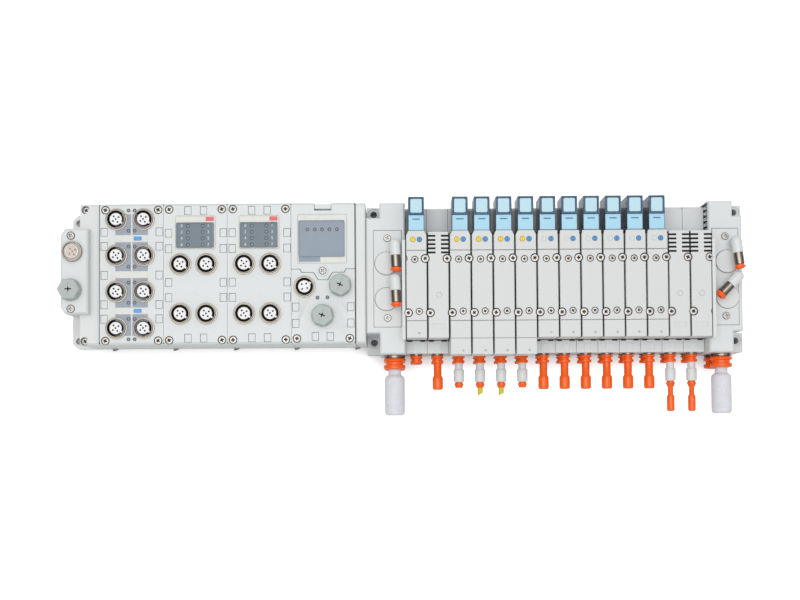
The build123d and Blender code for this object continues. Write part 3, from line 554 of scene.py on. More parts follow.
# Blanking plates: polyamide mouldings over the unused stations, with two rows of cooling slots at
# the rear, a gate mark in the middle and a bare recess near the front.
plate = valve_length("plate", (-48.9, 28.4), 67.0)
cut(plate, all_rounds("pockets", 3.3, (61.4, 70), clamp_places))
slot_places = [(x, 25.6 - 3.05 * n, 0, (0, 0, 0)) for n in range(5) for x in (-5.1, 5.1)]
slots = set_copies(block("slot", (-3.1, 3.1), (-0.75, 0.75), (61.5, 69)), "slots", slot_places)
cut(plate, slots)
cut(plate, block("recess", (-4.65, 4.65), (-42.4, -38.6), (66.5, 69)))
gate = turned("gate", [(66.4, 2.15), (69, 2.15), (69, 1.7), (66.4, 1.7)], 24)
cut(plate, set_copies(gate, "gate", [(0.3, -17.6, 0, (0, 0, 0))]))
round_edges(plate, 0.2)
plates = set_copies(plate, "blanking_plates_moulded", [(station_x(s), 0, 0, (0, 0, 0))
                    for s in blank_stations])
fit(plates, "island", valve_grey)
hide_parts("blanking_plates")
# Black blocks fill the cooling slots, painted shade of their depth.
slot_shade = set_copies(block("slot_shade", (-3.09, 3.09), (-0.74, 0.74), (61.5, 66.5)), "slot_shade",
                        slot_places)
slot_shades = set_copies(slot_shade, "blanking_slot_shades", [(station_x(s), 0, 0, (0, 0, 0))
                         for s in blank_stations])
fit(slot_shades, "island", black_rubber_and_shade)


# End blocks: polyamide mouldings that close the row. Each has two ears with mounting holes and a
# raised wall beside the valves. The right one has cooling louvres towards the wiring cover.
def from_cad(node, name, weld=0.002):
    """A copy of a CAD node's own mesh, with its faces joined up, for cutting and rounding."""
    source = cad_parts[node]
    piece = bpy.data.objects.new(name, source.data.copy())
    bpy.context.scene.collection.objects.link(piece)
    select_only(piece)
    bpy.ops.object.mode_set(mode="EDIT")
    bpy.ops.mesh.select_all(action="SELECT")
    bpy.ops.mesh.remove_doubles(threshold=weld * MM)
    bpy.ops.object.mode_set(mode="OBJECT")
    return piece


pale_polyamide = moulded("polyamide_glass_filled_pale_grey", "#dde0e0")
louvre_ys = [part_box("end_block_right")[1][1] / MM - 3 - n * 4.2 for n in range(5)]
for side, node in ((-1, "end_block_left"), (1, "end_block_right")):
    end_piece = from_cad(node, node + "_moulded")
    for y in (-49.5, 49.5):
        sink = all_rounds("sink", 4.3, (16.8, 20), [(side * 138.5, y)], 32)
        cut(end_piece, sink)
    if side > 0:
        louvre_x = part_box(node)[0][0] / MM
        for y in louvre_ys:
            cut(end_piece, block("louvre", (louvre_x - 1, louvre_x + 2.6), (y - 2.2, y), (30, 53)))
    round_edges(end_piece, 0.6, 3)
    fit(end_piece, "island", pale_polyamide)
    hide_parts(node)
# Black blocks at the back of the louvres are painted shade of their depth.
louvre_shade = block("louvre_shade", (louvre_x + 1.9, louvre_x + 2.7), (-2.25, 0.05), (29.9, 53.1))
round_edges(louvre_shade, 0.1, 1)
fit(set_copies(louvre_shade, "louvre_shades", [(0, y, 0, (0, 0, 0)) for y in louvre_ys]),
    "island", black_rubber_and_shade)


# Cover plates: thin polyamide plates let into the end blocks. Each is held by two zinc plated
# screws, and has two round caps beside the elbow fittings.
dress("cover_plates", pale_polyamide, 0.25)
plate_middle = {-1: -127.8, 1: 122.0}
plate_spots = [(plate_middle[side], y, 54.7, (0, 0, 20 + y)) for side in (-1, 1)
               for y in (25.7, -33.3)]
plate_screws = set_copies(cross_screw("plate_screw", 2.75, 1.4), "cover_plate_screws", plate_spots)
fit(plate_screws, "island")
def edge_line(name, x, y, z, width=0.35):
    """The shadowed joint round a rectangular plate, as a frame a little proud of it."""
    frame_piece = block(name, (x[0] - width, x[1] + width), (y[0] - width, y[1] + width), z)
    cut(frame_piece, block("inside", x, y, (z[0] - 1, z[1] + 1)))
    return frame_piece


# The dark frames round the plates are painted shade of their joints.
plate_joints = [edge_line("plate_joint", (-137.85, -117.4), (-39.95, 31.45), (54.4, 55.04)),
                edge_line("plate_joint", (112.4, 131.45), (-39.95, 31.45), (54.4, 55.04))]
select_only(*plate_joints)
bpy.ops.object.join()
plate_joints[0].name = "cover_plate_joint_shades"
fit(plate_joints[0], "island", shadow_gap)
# A dark ring round each round cap is painted shade of its joint.
cap_joint_shade = turned("cap_joint_shade", [(54.4, 8.8), (55.06, 8.8), (55.08, 8.3)], 64)
round_cap = turned("round_cap", [(0, 8.4), (1.4, 8.4), (1.8, 8.0)], 64)
cap_spots = [(-128.6, 7.0, 54.6, (0, 0, 0)), (-128.6, -19.4, 54.6, (0, 0, 0)),
             (123.3, 7.0, 54.6, (0, 0, 0)), (123.3, -19.4, 54.6, (0, 0, 0))]
cap_joint_shades = set_copies(cap_joint_shade, "round_cap_joint_shades", [(x, y, 0, (0, 0, 0)) for x, y, *_ in cap_spots])
fit(cap_joint_shades, "island", shadow_gap)
round_caps = set_copies(round_cap, "round_port_caps", cap_spots)
fit(round_caps, "island", grey_polyamide)
mark = turned("mark", [(0, 1.75), (0.12, 1.75), (0.12, 1.5), (0.0, 1.45)], 32)
gate_marks = set_copies(mark, "gate_marks", [(-120.0, -37.2, 54.95, (0, 0, 0)),
                        (129.2, -37.2, 54.95, (0, 0, 0)), (-350.6, 2.4, 63.95, (0, 0, 0))])
fit(gate_marks, "island", pale_polyamide)


# Elbow fittings: white polybutylene bodies that turn on a stud, with a nickel plated barrel and an
# orange release ring at the open end.
def outward(piece, x, y, degrees):
    """Stands a piece drawn along +Z at the pivot so that it points in an elbow's direction."""
    return set_copies(piece, piece.name, [(x, y, 63.9, (0, 90, degrees))])


white_polybutylene = moulded("polybutylene_moulded_white", "#dfe2e2", roughness=0.38)
orange_acetal = moulded("acetal_moulded_orange", "#ff640a", roughness=0.22, relief=0.03)
dress("elbow_studs", zinc_steel, 0)
elbow_places = {
    "elbow_left_rear": (-122.3, 20.4, 273.0),
    "elbow_left_front": (-122.3, -5.4, 273.0),
    "elbow_right_rear": (128.1, 20.6, 277.5),
    "elbow_right_front": (129.2, -5.1, 226.0),
}
for node, (x, y, degrees) in elbow_places.items():
    dome = [(-3.9 * math.cos(math.radians(t)), 3.9 * math.sin(math.radians(t)))
            for t in range(6, 91, 12)]
    arm = turned("arm", dome + [(8.3, 3.9)], 40)
    arm = outward(arm, x, y, degrees)
    arm.name = node + "_body"
    fit(arm, node, white_polybutylene)
    leg = turned("leg", [(55.6, 3.3), (56.4, 3.5), (63.9, 3.5)], 32)
    leg = set_copies(leg, node + "_leg", [(x, y, 0, (0, 0, 0))])
    fit(leg, node, white_polybutylene)
    barrel = outward(turned("barrel", [(8.3, 3.45), (8.5, 3.6), (16.8, 3.6), (17.1, 3.35)], 40),
                     x, y, degrees)
    barrel.name = node + "_barrel"
    fit(barrel, node, nickel_brass)
    ring = turned("ring", [(17.1, 2.9), (18.0, 2.9), (18.0, 4.2), (19.1, 4.3), (19.4, 3.4),
                  (20.2, 3.1), (20.3, 2.7), (20.3, 2.1), (17.4, 2.0)], 40)
    ring = outward(ring, x, y, degrees)
    ring.name = node + "_ring"
    fit(ring, node, orange_acetal)
    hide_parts(node)


# Port collars: a nickel plated ring pressed into each port, and the orange acetal release ring
# that stands out of it, turned with two flanges and a waist.
def towards_tubes(piece, name, places):
    """Copies of a piece drawn along +Z, turned to leave the ports towards -Y."""
    return set_copies(piece, name, [(x, y, z, (90, 0, 0)) for x, y, z in places])


ports = [(station_x(s), -59.0, z) for s in stations for z in (30.0, 14.0)]
rim = turned("rim", [(0, 4.5), (1.0, 4.5), (1.2, 4.3), (1.2, 3.5), (0.4, 3.5)])
fit(towards_tubes(rim, "port_rims", ports), "island", nickel_brass)
spool_steps = [(0.4, 3.4), (1.7, 3.4), (1.75, 4.4), (2.9, 4.55), (3.2, 3.8), (3.6, 3.35),
               (4.7, 3.35), (5.0, 4.3), (6.4, 4.45), (7.0, 4.1), (7.1, 3.15), (1.1, 3.05)]
spools = towards_tubes(turned("spool", spool_steps), "port_spools", ports)
fit(spools, "island", orange_acetal)
for node in ("port_collars", "lower_port_collars"):
    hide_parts(node)


# Port plugs: solid orange polypropylene, pushed into the unused ports. The grip end is thicker.
plug_steps = [(-4.5, 2.9), (9.4, 2.95), (10.6, 3.75), (11.3, 3.95), (18.2, 4.0), (19.4, 3.75),
              (19.9, 3.2), (20.0, 2.2)]
plug_places = [(station_x(s), -66.1, 30.0) for s in (2, 7, 8, 9, 10, 11, 12)]
orange_plug = moulded("polypropylene_moulded_orange", "#ff660c", roughness=0.2, relief=0.03)
plugs = towards_tubes(turned("plug", plug_steps), "port_plugs_moulded", plug_places)
fit(plugs, "island", orange_plug)
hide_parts("port_plugs")


# Tube reducers: white polybutylene bodies with a narrow neck, and an orange release ring at the
# small end. Two of them still hold a stub of yellow tube, and two a small plug.
reduced = [(station_x(s), -66.1, 30.0) for s in (3, 4, 5, 6, 13, 14)]
reducer_steps = [(-4.0, 3.0), (4.6, 3.0), (4.9, 3.75), (5.4, 3.95), (13.4, 3.95), (13.9, 3.8),
                 (14.2, 3.4), (14.2, 2.9), (12.0, 2.9)]
reducers = towards_tubes(turned("reducer", reducer_steps), "tube_reducers_moulded", reduced)
fit(reducers, "island", white_polybutylene)
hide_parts("tube_reducers")
ring_steps = [(12.4, 2.7), (14.9, 2.7), (15.1, 3.3), (16.4, 3.45), (16.9, 3.1), (17.2, 2.9),
              (18.3, 2.8), (18.6, 2.5), (18.6, 2.05), (14.5, 2.0)]
rings = towards_tubes(turned("ring", ring_steps), "reducer_rings_moulded", reduced)
fit(rings, "island", orange_acetal)
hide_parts("reducer_rings")

stub = turned("stub", [(11.0, 1.95), (24.8, 1.95), (24.8, 1.3), (20.0, 1.3)], 32)
select_only(stub)
bpy.ops.object.mode_set(mode="EDIT")
bpy.ops.mesh.select_all(action="SELECT")
bpy.ops.mesh.bisect(plane_co=(0, 0, 23.4 * MM), plane_no=(0.45, 0.1, 0.9), clear_outer=True)
bpy.ops.object.mode_set(mode="OBJECT")
yellow_tube = moulded("polyurethane_tube_yellow", "#e2d412", roughness=0.3, relief=0.02, clear=0.15)
stubs = towards_tubes(stub, "yellow_tube_stubs", [(station_x(s), -66.1, 30.0) for s in (4, 5)])
fit(stubs, "island", yellow_tube)
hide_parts("tube_stubs")

small_steps = [(12.0, 1.9), (24.6, 2.0), (25.6, 2.7), (26.1, 2.85), (35.6, 2.9), (36.6, 2.7),
               (37.1, 2.2), (37.2, 1.4)]
small_plugs = towards_tubes(turned("small_plug", small_steps, 32), "small_plugs_moulded",
                            [(station_x(s), -66.1, 30.0) for s in (13, 14)])
fit(small_plugs, "island", orange_plug)
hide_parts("small_plugs")


# Main ports: the same kind of fitting for 12 mm tube, two at each end, one above the other.
main_ports = [(side * 123.0, -60.0, z) for side in (-1, 1) for z in (34.0, 13.5)]
main_rim = turned("main_rim", [(0, 7.85), (1.9, 7.85), (2.2, 7.5), (2.2, 6.6), (1.0, 6.6)], 64)
fit(towards_tubes(main_rim, "main_port_rims", main_ports), "island", nickel_brass)
main_steps = [(1.0, 6.5), (2.6, 6.5), (2.7, 7.9), (3.2, 8.15), (4.4, 8.2), (4.9, 7.6), (5.3, 6.5),
              (7.2, 6.5), (7.5, 7.9), (8.0, 8.15), (9.8, 8.1), (10.5, 7.4), (10.6, 6.1), (2.0, 6.05)]
main_spools = towards_tubes(turned("main_spool", main_steps, 64), "main_port_spools", main_ports)
fit(main_spools, "island", orange_acetal)
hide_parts("main_collars")


# Silencers: cups of sintered polyethylene, white and slightly see-through, on a moulded neck.
def sintered(name, colour):
    """Sintered polyethylene: beads about 0.4 mm across, fused into a milky, porous wall."""
    material = bpy.data.materials.new(name)
    material.use_nodes = True
    tree = material.node_tree
    tree.nodes.clear()
    place = add(tree, "ShaderNodeTexCoord", {}).outputs["Object"]
    beads = add(tree, "ShaderNodeTexVoronoi", {"Vector": place, "Scale": 1 / (1.4 * MM)})
    cloud = add(tree, "ShaderNodeTexNoise", {"Vector": place, "Scale": 1 / (3.5 * MM), "Detail": 6.0,
                "Roughness": 0.7})
    shade = [c * 0.74 for c in linear(colour)[:3]] + [1.0]
    tone = add(tree, "ShaderNodeMixRGB", {"Fac": cloud.outputs["Fac"], "Color1": linear(colour),
               "Color2": shade})
    bump = add(tree, "ShaderNodeBump", {"Height": beads.outputs["Distance"], "Strength": 0.35,
               "Distance": 0.3 * MM})
    shader = add(tree, "ShaderNodeBsdfPrincipled", {"Base Color": tone.outputs[0],
                 "Roughness": 0.6, "Normal": bump.outputs[0], "Subsurface Weight": 0.35,
                 "Subsurface Radius": (1.0, 1.0, 1.0), "Subsurface Scale": 2.5 * MM})
    add(tree, "ShaderNodeOutputMaterial", {"Surface": shader.outputs[0]})
    return material


white_sintered = sintered("polyethylene_sintered_white", "#eceef4")
cup = turned("cup", [(-6.0, 4.6), (4.0, 4.65), (4.6, 5.3), (5.4, 6.6), (6.8, 7.4), (7.6, 7.5),
             (31.6, 7.5), (33.2, 7.25), (34.2, 6.6), (34.7, 5.4)], 64)
cups = towards_tubes(cup, "silencers_sintered", [(side * 123.0, -70.6, 34.0) for side in (-1, 1)])
fit(cups, "island", white_sintered)
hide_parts("silencers")


# Input and output units: moulded polybutylene housings, each a part of the island's electronics.
# Markers snap into windows along their edges, and four screws in counterbores hold each one.
unit_right = {"network_unit": -151.8, "output_unit_2": -198.8, "output_unit_1": -245.8,
              "input_unit": -292.8}
pale_polybutylene = moulded("polybutylene_moulded_pale_grey", "#dde1e1", roughness=0.42)


def rows(xs, ys):
    return [(x, y) for x in xs for y in ys]


def slots_at(name, half_x, half_y, z, places):
    """Rectangular cutters or tabs of one size, standing at (x, y) places."""
    tab = block(name, (-half_x, half_x), (-half_y, half_y), z)
    return set_copies(tab, name, [(x, y, 0, (0, 0, 0)) for x, y in places])


output_windows = rows((-43.3, -2.9), (30.2, 18.6, -6.4, -17.6))
output_short = rows((-29.0, -17.5), (46.8, -47.5))
window_places = {
    "input_unit": (rows((-43.7, -3.2), (31.2, 20.6, -0.8, -22.5, -33.1)), []),
    "output_unit_1": (output_windows, output_short),
    "output_unit_2": (output_windows, output_short),
    "network_unit": (rows((-43.7, -3.2), (-25.1, -37.1)), [(-29.3, -46.9), (-18.3, -46.9)]),
}
screw_rows = {"input_unit": (47.5, -49.2), "output_unit_1": (47.7, -49.0),
              "output_unit_2": (47.7, -49.0), "network_unit": (-48.3,)}
socket_xy = {
    "input_unit": rows((-34.7, -14.6), (40.5, 13.8, -12.9, -39.9)),
    "output_unit_1": rows((-34.6, -15.4), (7.1, -29.5)),
    "output_unit_2": rows((-34.6, -15.4), (7.1, -29.5)),
    "network_unit": [(-37.1, -10.1)],
}
screw_spots = []
tab_spots = []
for node, right in unit_right.items():
    housing = from_cad(node, node + "_moulded")
    tall, wide = [[(right + x, y) for x, y in group] for group in window_places[node]]
    screws = [(right + x, y) for x in (-42.85, -4.0) for y in screw_rows[node]]
    sockets = [(right + x, y) for x, y in socket_xy[node]]
    cut(housing, all_rounds("counterbores", 3.2, (54.6, 60), screws))
    cut(housing, all_rounds("socket_bores", 6.2, (50.0, 60), sockets, 40))
    cut(housing, slots_at("windows", 2.62, 3.15, (55.6, 60), tall + wide))
    round_edges(housing, 0.35)
    fit(housing, "island", pale_polybutylene)
    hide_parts(node)
    screw_spots += [(x, y, 54.7, (0, 0, 9 * x)) for x, y in screws]
    tab_spots += tall + wide
tab = block("tab", (-2.32, 2.32), (-2.85, 2.85), (55.5, 57.7))
round_edges(tab, 0.2)
tabs = set_copies(tab, "marker_tabs", [(x, y, 0, (0, 0, 0)) for x, y in tab_spots])
fit(tabs, "island", pale_polybutylene)
unit_screws = set_copies(cross_screw("unit_screw", 2.85, 3.1), "unit_screws", screw_spots)
fit(unit_screws, "island")
# Thin black strips in the joints between units are painted shade of the joints.
unit_joint_shade = block("unit_joint_shade", (-0.3, 0.3), (-51.6, 51.6), (20.0, 57.72))
round_edges(unit_joint_shade, 0.05, 1)
unit_joint_shades = set_copies(unit_joint_shade, "unit_joint_shade_strips", [(x, 0, 0, (0, 0, 0))
                        for x in (-339.9, -292.9, -245.9, -198.9, -151.9)])
fit(unit_joint_shades, "island", black_rubber_and_shade)
ring = turned("ring", [(57.9, 1.9), (58.12, 1.9), (58.12, 1.65), (57.95, 1.6)], 32)
ring_spots = [(unit_right[node] + x, y, 0, (0, 0, 0)) for node, x, y in (
    ("output_unit_1", -23.6, -15.4), ("output_unit_2", -23.6, -15.4), ("network_unit", -23.5, -9.5))]
fit(set_copies(ring, "unit_gate_rings", ring_spots), "island", pale_polybutylene)


# Switch cover: a polybutylene lid over the network switches, hinged at its rear edge and held shut
# by a captive screw in a round boss on its front tab.
lid = from_cad("switch_cover", "switch_lid_moulded")
round_edges(lid, 0.25)
fit(lid, "switch_cover", pale_polybutylene)
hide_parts("switch_cover")
boss = turned("boss", [(57.8, 4.4), (58.3, 4.4), (58.6, 4.2), (58.6, 3.1), (57.9, 3.0)], 40)
boss = set_copies(boss, "switch_lid_boss", [(-175.5, 1.6, 0, (0, 0, 0))])
fit(boss, "switch_cover", pale_polybutylene)
lid_screw = set_copies(cross_screw("lid_screw", 2.7, 1.4), "switch_lid_screw",
                       [(-175.5, 1.6, 57.85, (0, 0, 15))])
fit(lid_screw, "switch_cover")
dress("switch_hinge_pin", zinc_steel, 0)
dark_polyamide = moulded("polyamide_moulded_dark", "#2b2e33", roughness=0.5)
dress("switch_block", dark_polyamide, 0.3)


# Labels: printed polyester film stuck into shallow recesses, cream with a smoke grey field behind
# the lamps. They carry no wording; plain numbers from 0 to 7 stand beside the output lamps.
def printed_film(name, colour, roughness=0.38):
    """Polyester film with a fine printed dot and a satin hard coat, flatter than the mouldings."""
    material = bpy.data.materials.new(name)
    material.use_nodes = True
    tree = material.node_tree
    tree.nodes.clear()
    place = add(tree, "ShaderNodeTexCoord", {}).outputs["Object"]
    cloud = add(tree, "ShaderNodeTexNoise", {"Vector": place, "Scale": 1 / (5 * MM), "Detail": 5.0})
    shade = [c * 0.86 for c in linear(colour)[:3]] + [1.0]
    tone = add(tree, "ShaderNodeMixRGB", {"Fac": cloud.outputs["Fac"], "Color1": linear(colour),
               "Color2": shade})
    dots = add(tree, "ShaderNodeTexVoronoi", {"Vector": place, "Scale": 1 / (0.7 * MM)})
    bump = add(tree, "ShaderNodeBump", {"Height": dots.outputs["Distance"], "Strength": 0.04,
               "Distance": 0.1 * MM})
    shader = add(tree, "ShaderNodeBsdfPrincipled", {"Base Color": tone.outputs[0],
                 "Roughness": roughness, "Normal": bump.outputs[0], "Coat Weight": 0.15,
                 "Coat Roughness": 0.3})
    add(tree, "ShaderNodeOutputMaterial", {"Surface": shader.outputs[0]})
    return material


def film(name, x, y, z, corner):
    """A flat label with rounded corners."""
    piece = block(name, x, y, z)
    for edge in piece.data.edges:
        ends = [piece.data.vertices[v].co for v in edge.vertices]
        edge.select = abs(ends[0].z - ends[1].z) > 0.01 * MM
    bpy.ops.object.mode_set(mode="EDIT")
    bpy.ops.mesh.select_mode(type="EDGE")
    bpy.ops.object.mode_set(mode="OBJECT")
    for edge in piece.data.edges:
        ends = [piece.data.vertices[v].co for v in edge.vertices]
        edge.select = abs(ends[0].z - ends[1].z) > 0.01 * MM
    bpy.ops.object.mode_set(mode="EDIT")
    bpy.ops.mesh.bevel(offset=corner * MM, segments=4, affect="EDGES")
    bpy.ops.object.mode_set(mode="OBJECT")
    return piece


def joined(name, pieces):
    select_only(*pieces)
    if len(pieces) > 1:
        bpy.ops.object.join()
    pieces[0].name = name
    return pieces[0]


cream_film = printed_film("polyester_film_cream", "#e4e4de")
smoke_film = printed_film("polyester_film_smoke_grey", "#697782")
lid_smoke_film = printed_film("polyester_film_pale_smoke", "#8998a7")
grey_film = printed_film("polyester_film_mid_grey", "#98a3b0")
blue_film = printed_film("polyester_film_blue", "#43a5ef")
red_film = printed_film("polyester_film_red", "#ee5a68")
cream, smoke, grey, blue, red = [], [], [], [], []
right = unit_right["input_unit"]
for low, high in ((29.0, 44.3), (2.3, 23.6), (-24.6, -3.0), (-45.5, -29.7)):
    for x in ((-35.4, -23.9), (-22.8, -11.5)):
        panel = film("panel", (right + x[0], right + x[1]), (low, high), (57.9, 58.12), 0.15)
        grey.append(panel)
for low, high in ((23.8, 28.8), (-2.8, 2.1), (-29.5, -24.8)):
    cream.append(film("band", (right - 35.4, right - 11.5), (low, high), (57.9, 58.1), 0.15))
for y in (24.9, -28.6):
    blue.append(film("tag", (right - 21.8, right - 16.1), (y, y + 2.8), (58.0, 58.18), 0.5))
for node in ("output_unit_1", "output_unit_2"):
    right = unit_right[node]
    cream.append(film("label", (right - 38.2, right - 8.7), (18.3, 42.9), (57.9, 58.12), 0.8))
    smoke.append(film("field", (right - 37.4, right - 9.9), (19.1, 37.8), (58.0, 58.2), 0.8))
    red.append(film("tag", (right - 15.8, right - 9.9), (39.0, 42.0), (58.0, 58.2), 0.3))
for name, pieces, finish in (("label_grey_fields", grey, grey_film), ("label_cream", cream, cream_film),
                             ("label_smoke_fields", smoke, smoke_film), ("label_blue_tags", blue, blue_film),
                             ("label_red_tags", red, red_film)):
    fit(joined(name, pieces), "island", finish)
lid_label = film("lid_label", (-193.9, -157.7), (7.1, 43.4), (57.9, 58.12), 0.8)
fit(lid_label, "switch_cover", cream_film)
lid_fields = [film("lid_field", (-193.1, -159.3), (11.9, 38.8), (58.0, 58.2), 0.8),
              film("lid_field", (-193.1, -177.2), (8.3, 11.9), (58.0, 58.2), 0.05)]
fit(joined("lid_field", lid_fields), "switch_cover", lid_smoke_film)

numbers = []
for node in ("output_unit_1", "output_unit_2"):
    for number in range(8):
        bpy.ops.object.select_all(action="DESELECT")
        bpy.ops.object.text_add()
        figure = bpy.context.object
        figure.data.body = str(number)
        figure.data.align_x = "CENTER"
        figure.data.align_y = "CENTER"
        figure.data.size = 3.0 * MM
        figure.data.extrude = 0.03 * MM
        bpy.ops.object.convert(target="MESH")
        figure.location = ((unit_right[node] + (-33.6 if number % 2 == 0 else -13.9)) * MM,
                           (35.4 - 4.65 * (number // 2)) * MM, 58.22 * MM)
        bpy.ops.object.transform_apply(location=True, rotation=True, scale=True)
        numbers.append(figure)
white_ink = moulded("screen_printed_ink_white", "#e8ecee", roughness=0.5, relief=0.0)
fit(joined("output_numbers", numbers), "island", white_ink)


# Status lamps: light pipes of smoked polycarbonate, flush in a narrow dark ring.
lamps = [(unit_right["input_unit"] + x, y) for x in (-25.7, -21.2)
         for y in (47.1, 32.1, 20.4, 5.5, -6.2, -21.2, -33.1, -48.1)]
for node in ("output_unit_1", "output_unit_2"):
    lamps += [(unit_right[node] + x, 35.4 - 4.65 * n) for x in (-28.9, -18.1) for n in range(4)]
lamps += [(-179.4, -18.2), (-172.1, -18.1)]
lid_lamps = [(-151.8 + x, 32.2) for x in (-34.8, -29.4, -24.0, -18.6, -13.1)]
smoked = moulded("polycarbonate_smoked", "#4a4f55", roughness=0.2, relief=0.0)
milky = moulded("polycarbonate_milky_grey", "#8b9297", roughness=0.25, relief=0.0)
for name, places, body in (("status_lamps", lamps, "island"), ("lid_lamps", lid_lamps, "switch_cover")):
    bezel = turned("bezel", [(57.9, 1.35), (58.3, 1.35), (58.4, 1.2), (58.4, 0.95), (58.2, 0.9)], 24)
    bezels = set_copies(bezel, name + "_bezels", [(x, y, 0, (0, 0, 0)) for x, y in places])
    fit(bezels, body, smoked)
    lens = turned("lens", [(57.9, 0.88), (58.3, 0.86), (58.42, 0.6), (58.46, 0.25)], 24)
    lenses = set_copies(lens, name + "_lenses", [(x, y, 0, (0, 0, 0)) for x, y in places])
    fit(lenses, body, milky)


# Round sockets: a die cast sleeve with a flange, plated with nickel, and inside it a white contact
# carrier with five holes and a key, standing in a black rubber seal.
all_sockets = [(unit_right[node] + x, y) for node, group in socket_xy.items() for x, y in group]


def at_sockets(piece, name):
    return set_copies(piece, name, [(x, y, 0, (0, 0, 0)) for x, y in all_sockets])


sleeve = turned("sleeve", [(50.3, 6.25), (57.9, 6.25), (57.9, 8.0), (58.3, 8.1), (58.6, 7.9), (58.7, 7.1),
                (60.2, 7.0), (60.5, 6.8), (60.5, 6.5), (60.2, 6.2), (57.0, 6.1), (57.0, 5.6)], 48)
socket_nickel = turned_metal("zinc_die_cast_nickel_plated", "#9b948a", 0.3)
sleeves = at_sockets(sleeve, "socket_sleeves")
fit(sleeves, "island", socket_nickel)
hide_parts("round_sockets")
# The black seal is real rubber, and its black also serves as painted shade of the deep gap round the
# carrier.
seal_and_shade = turned("seal_and_shade", [(51.0, 6.08), (57.5, 6.08), (57.7, 5.8), (57.7, 5.2), (60.0, 5.1), (60.2, 4.9),
              (60.1, 4.4)], 40)
fit(at_sockets(seal_and_shade, "socket_seals_and_shade"), "island", black_rubber_and_shade)
white_carrier = moulded("polyamide_moulded_white", "#efeeef", roughness=0.4, relief=0.02)


def contact_carrier(name, holes):
    """A round carrier with dark contact holes and a key on its side."""
    carrier = turned(name, [(51.0, 4.5), (60.3, 4.5), (60.5, 4.3)], 40)
    cut(carrier, all_rounds("contact_holes", 0.68, (57.5, 62), holes, 16))
    round_edges(carrier, 0.1)
    # The second finish is painted shade on the faces inside the contact holes.
    for finish in (white_carrier, black_rubber_and_shade):
        carrier.data.materials.append(finish)
    for face in carrier.data.polygons:
        inside = math.hypot(face.center.x, face.center.y) < 3.6 * MM
        face.material_index = 1 if inside and 52 * MM < face.center.z < 60.2 * MM else 0
    key = block("key", (4.1, 5.6), (-0.75, 0.75), (51.0, 60.3))
    round_edges(key, 0.2)
    key.data.materials.append(white_carrier)
    select_only(carrier, set_copies(key, "key", [(0, 0, 0, (0, 0, -33))]))
    bpy.ops.object.join()
    return carrier


five = [(0, 0)] + [(2.5 * math.cos(math.radians(a)), 2.5 * math.sin(math.radians(a)))
                   for a in (34, 127, 217, 302)]
four = [(2.5 * math.cos(math.radians(a)), 2.5 * math.sin(math.radians(a))) for a in (75, 165, 265, 350)]
carriers = set_copies(contact_carrier("carrier", five), "contact_carriers",
                      [(x, y, 0, (0, 0, 0)) for x, y in all_sockets[:-1]])
network_carrier = set_copies(contact_carrier("network_carrier", four), "network_contact_carrier",
                             [(*all_sockets[-1], 0, (0, 0, 65))])
for piece in (carriers, network_carrier):
    fit(piece, "island")
    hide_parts("socket_inserts")


# Blanking caps: hexagonal polyamide screw caps on the unused connectors. A long shallow slot
# crosses each face, with a deep cross in the middle for a screwdriver.
def screw_cap(name):
    """A six-sided head on a round flange, with its corners turned away."""
    head = turned("head", [(1.4, 8.3), (7.6, 8.3), (8.2, 7.8)], 6)
    trim = turned("trim", [(0.5, 9.5), (7.2, 9.2), (8.2, 7.95), (9.0, 7.6)], 48)
    select_only(head)
    corner = head.modifiers.new("corner", "BOOLEAN")
    corner.operation = "INTERSECT"
    corner.solver = "EXACT"
    corner.object = trim
    bpy.ops.object.modifier_apply(modifier="corner")
    bpy.data.objects.remove(trim)
    for half_length, half_width, floor, turn in ((4.6, 0.5, 7.9, 60), (2.4, 0.42, 6.4, 150),
                                                 (1.5, 0.42, 6.4, 60)):
        arm = block("arm", (-half_length, half_length), (-half_width, half_width), (floor, 9.5))
        cut(head, set_copies(arm, "arm", [(0, 0, 0, (0, 0, turn))]))
    round_edges(head, 0.22, 2)
    # The floor and walls of the deep cross take the black as painted shade.
    for finish in (cap_grey, black_rubber_and_shade):
        head.data.materials.append(finish)
    for face in head.data.polygons:
        inside = math.hypot(face.center.x, face.center.y) < 2.6 * MM
        face.material_index = 1 if inside and 6 * MM < face.center.z < 7.7 * MM else 0
    flange = turned(name, [(0, 8.1), (1.2, 8.3), (1.5, 8.1)], 48)
    flange.data.materials.append(cap_grey)
    return joined(name, [flange, head])


cap_grey = moulded("polyamide_moulded_grey_green", "#aeb8b4", roughness=0.4, relief=0.06)
cap_spots = [(-162.6, -9.3, 58.0, (0, 0, 5)), (-175.7, -31.6, 58.0, (0, 0, 10)),
             (-359.6, -12.0, 64.0, (0, 0, 30))]
screw_caps = set_copies(screw_cap("screw_cap"), "hexagonal_caps", cap_spots)
fit(screw_caps, "island")
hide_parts("blanking_caps")


# End plate: a painted aluminium casting that closes the units and carries the bolt-down foot.
def painted(name, colour):
    """Powder coat on cast aluminium: an even satin skin with a soft orange-peel surface."""
    material = bpy.data.materials.new(name)
    material.use_nodes = True
    tree = material.node_tree
    tree.nodes.clear()
    place = add(tree, "ShaderNodeTexCoord", {}).outputs["Object"]
    peel = add(tree, "ShaderNodeTexNoise", {"Vector": place, "Scale": 1 / (1.6 * MM), "Detail": 1.0})
    drift = add(tree, "ShaderNodeTexNoise", {"Vector": place, "Scale": 1 / (30 * MM), "Detail": 2.0})
    shade = [c * 0.95 for c in linear(colour)[:3]] + [1.0]
    tone = add(tree, "ShaderNodeMixRGB", {"Fac": drift.outputs["Fac"], "Color1": linear(colour),
               "Color2": shade})
    bump = add(tree, "ShaderNodeBump", {"Height": peel.outputs["Fac"], "Strength": 0.08,
               "Distance": 0.2 * MM})
    shader = add(tree, "ShaderNodeBsdfPrincipled", {"Base Color": tone.outputs[0],
                 "Roughness": 0.4, "Normal": bump.outputs[0]})
    add(tree, "ShaderNodeOutputMaterial", {"Surface": shader.outputs[0]})
    return material


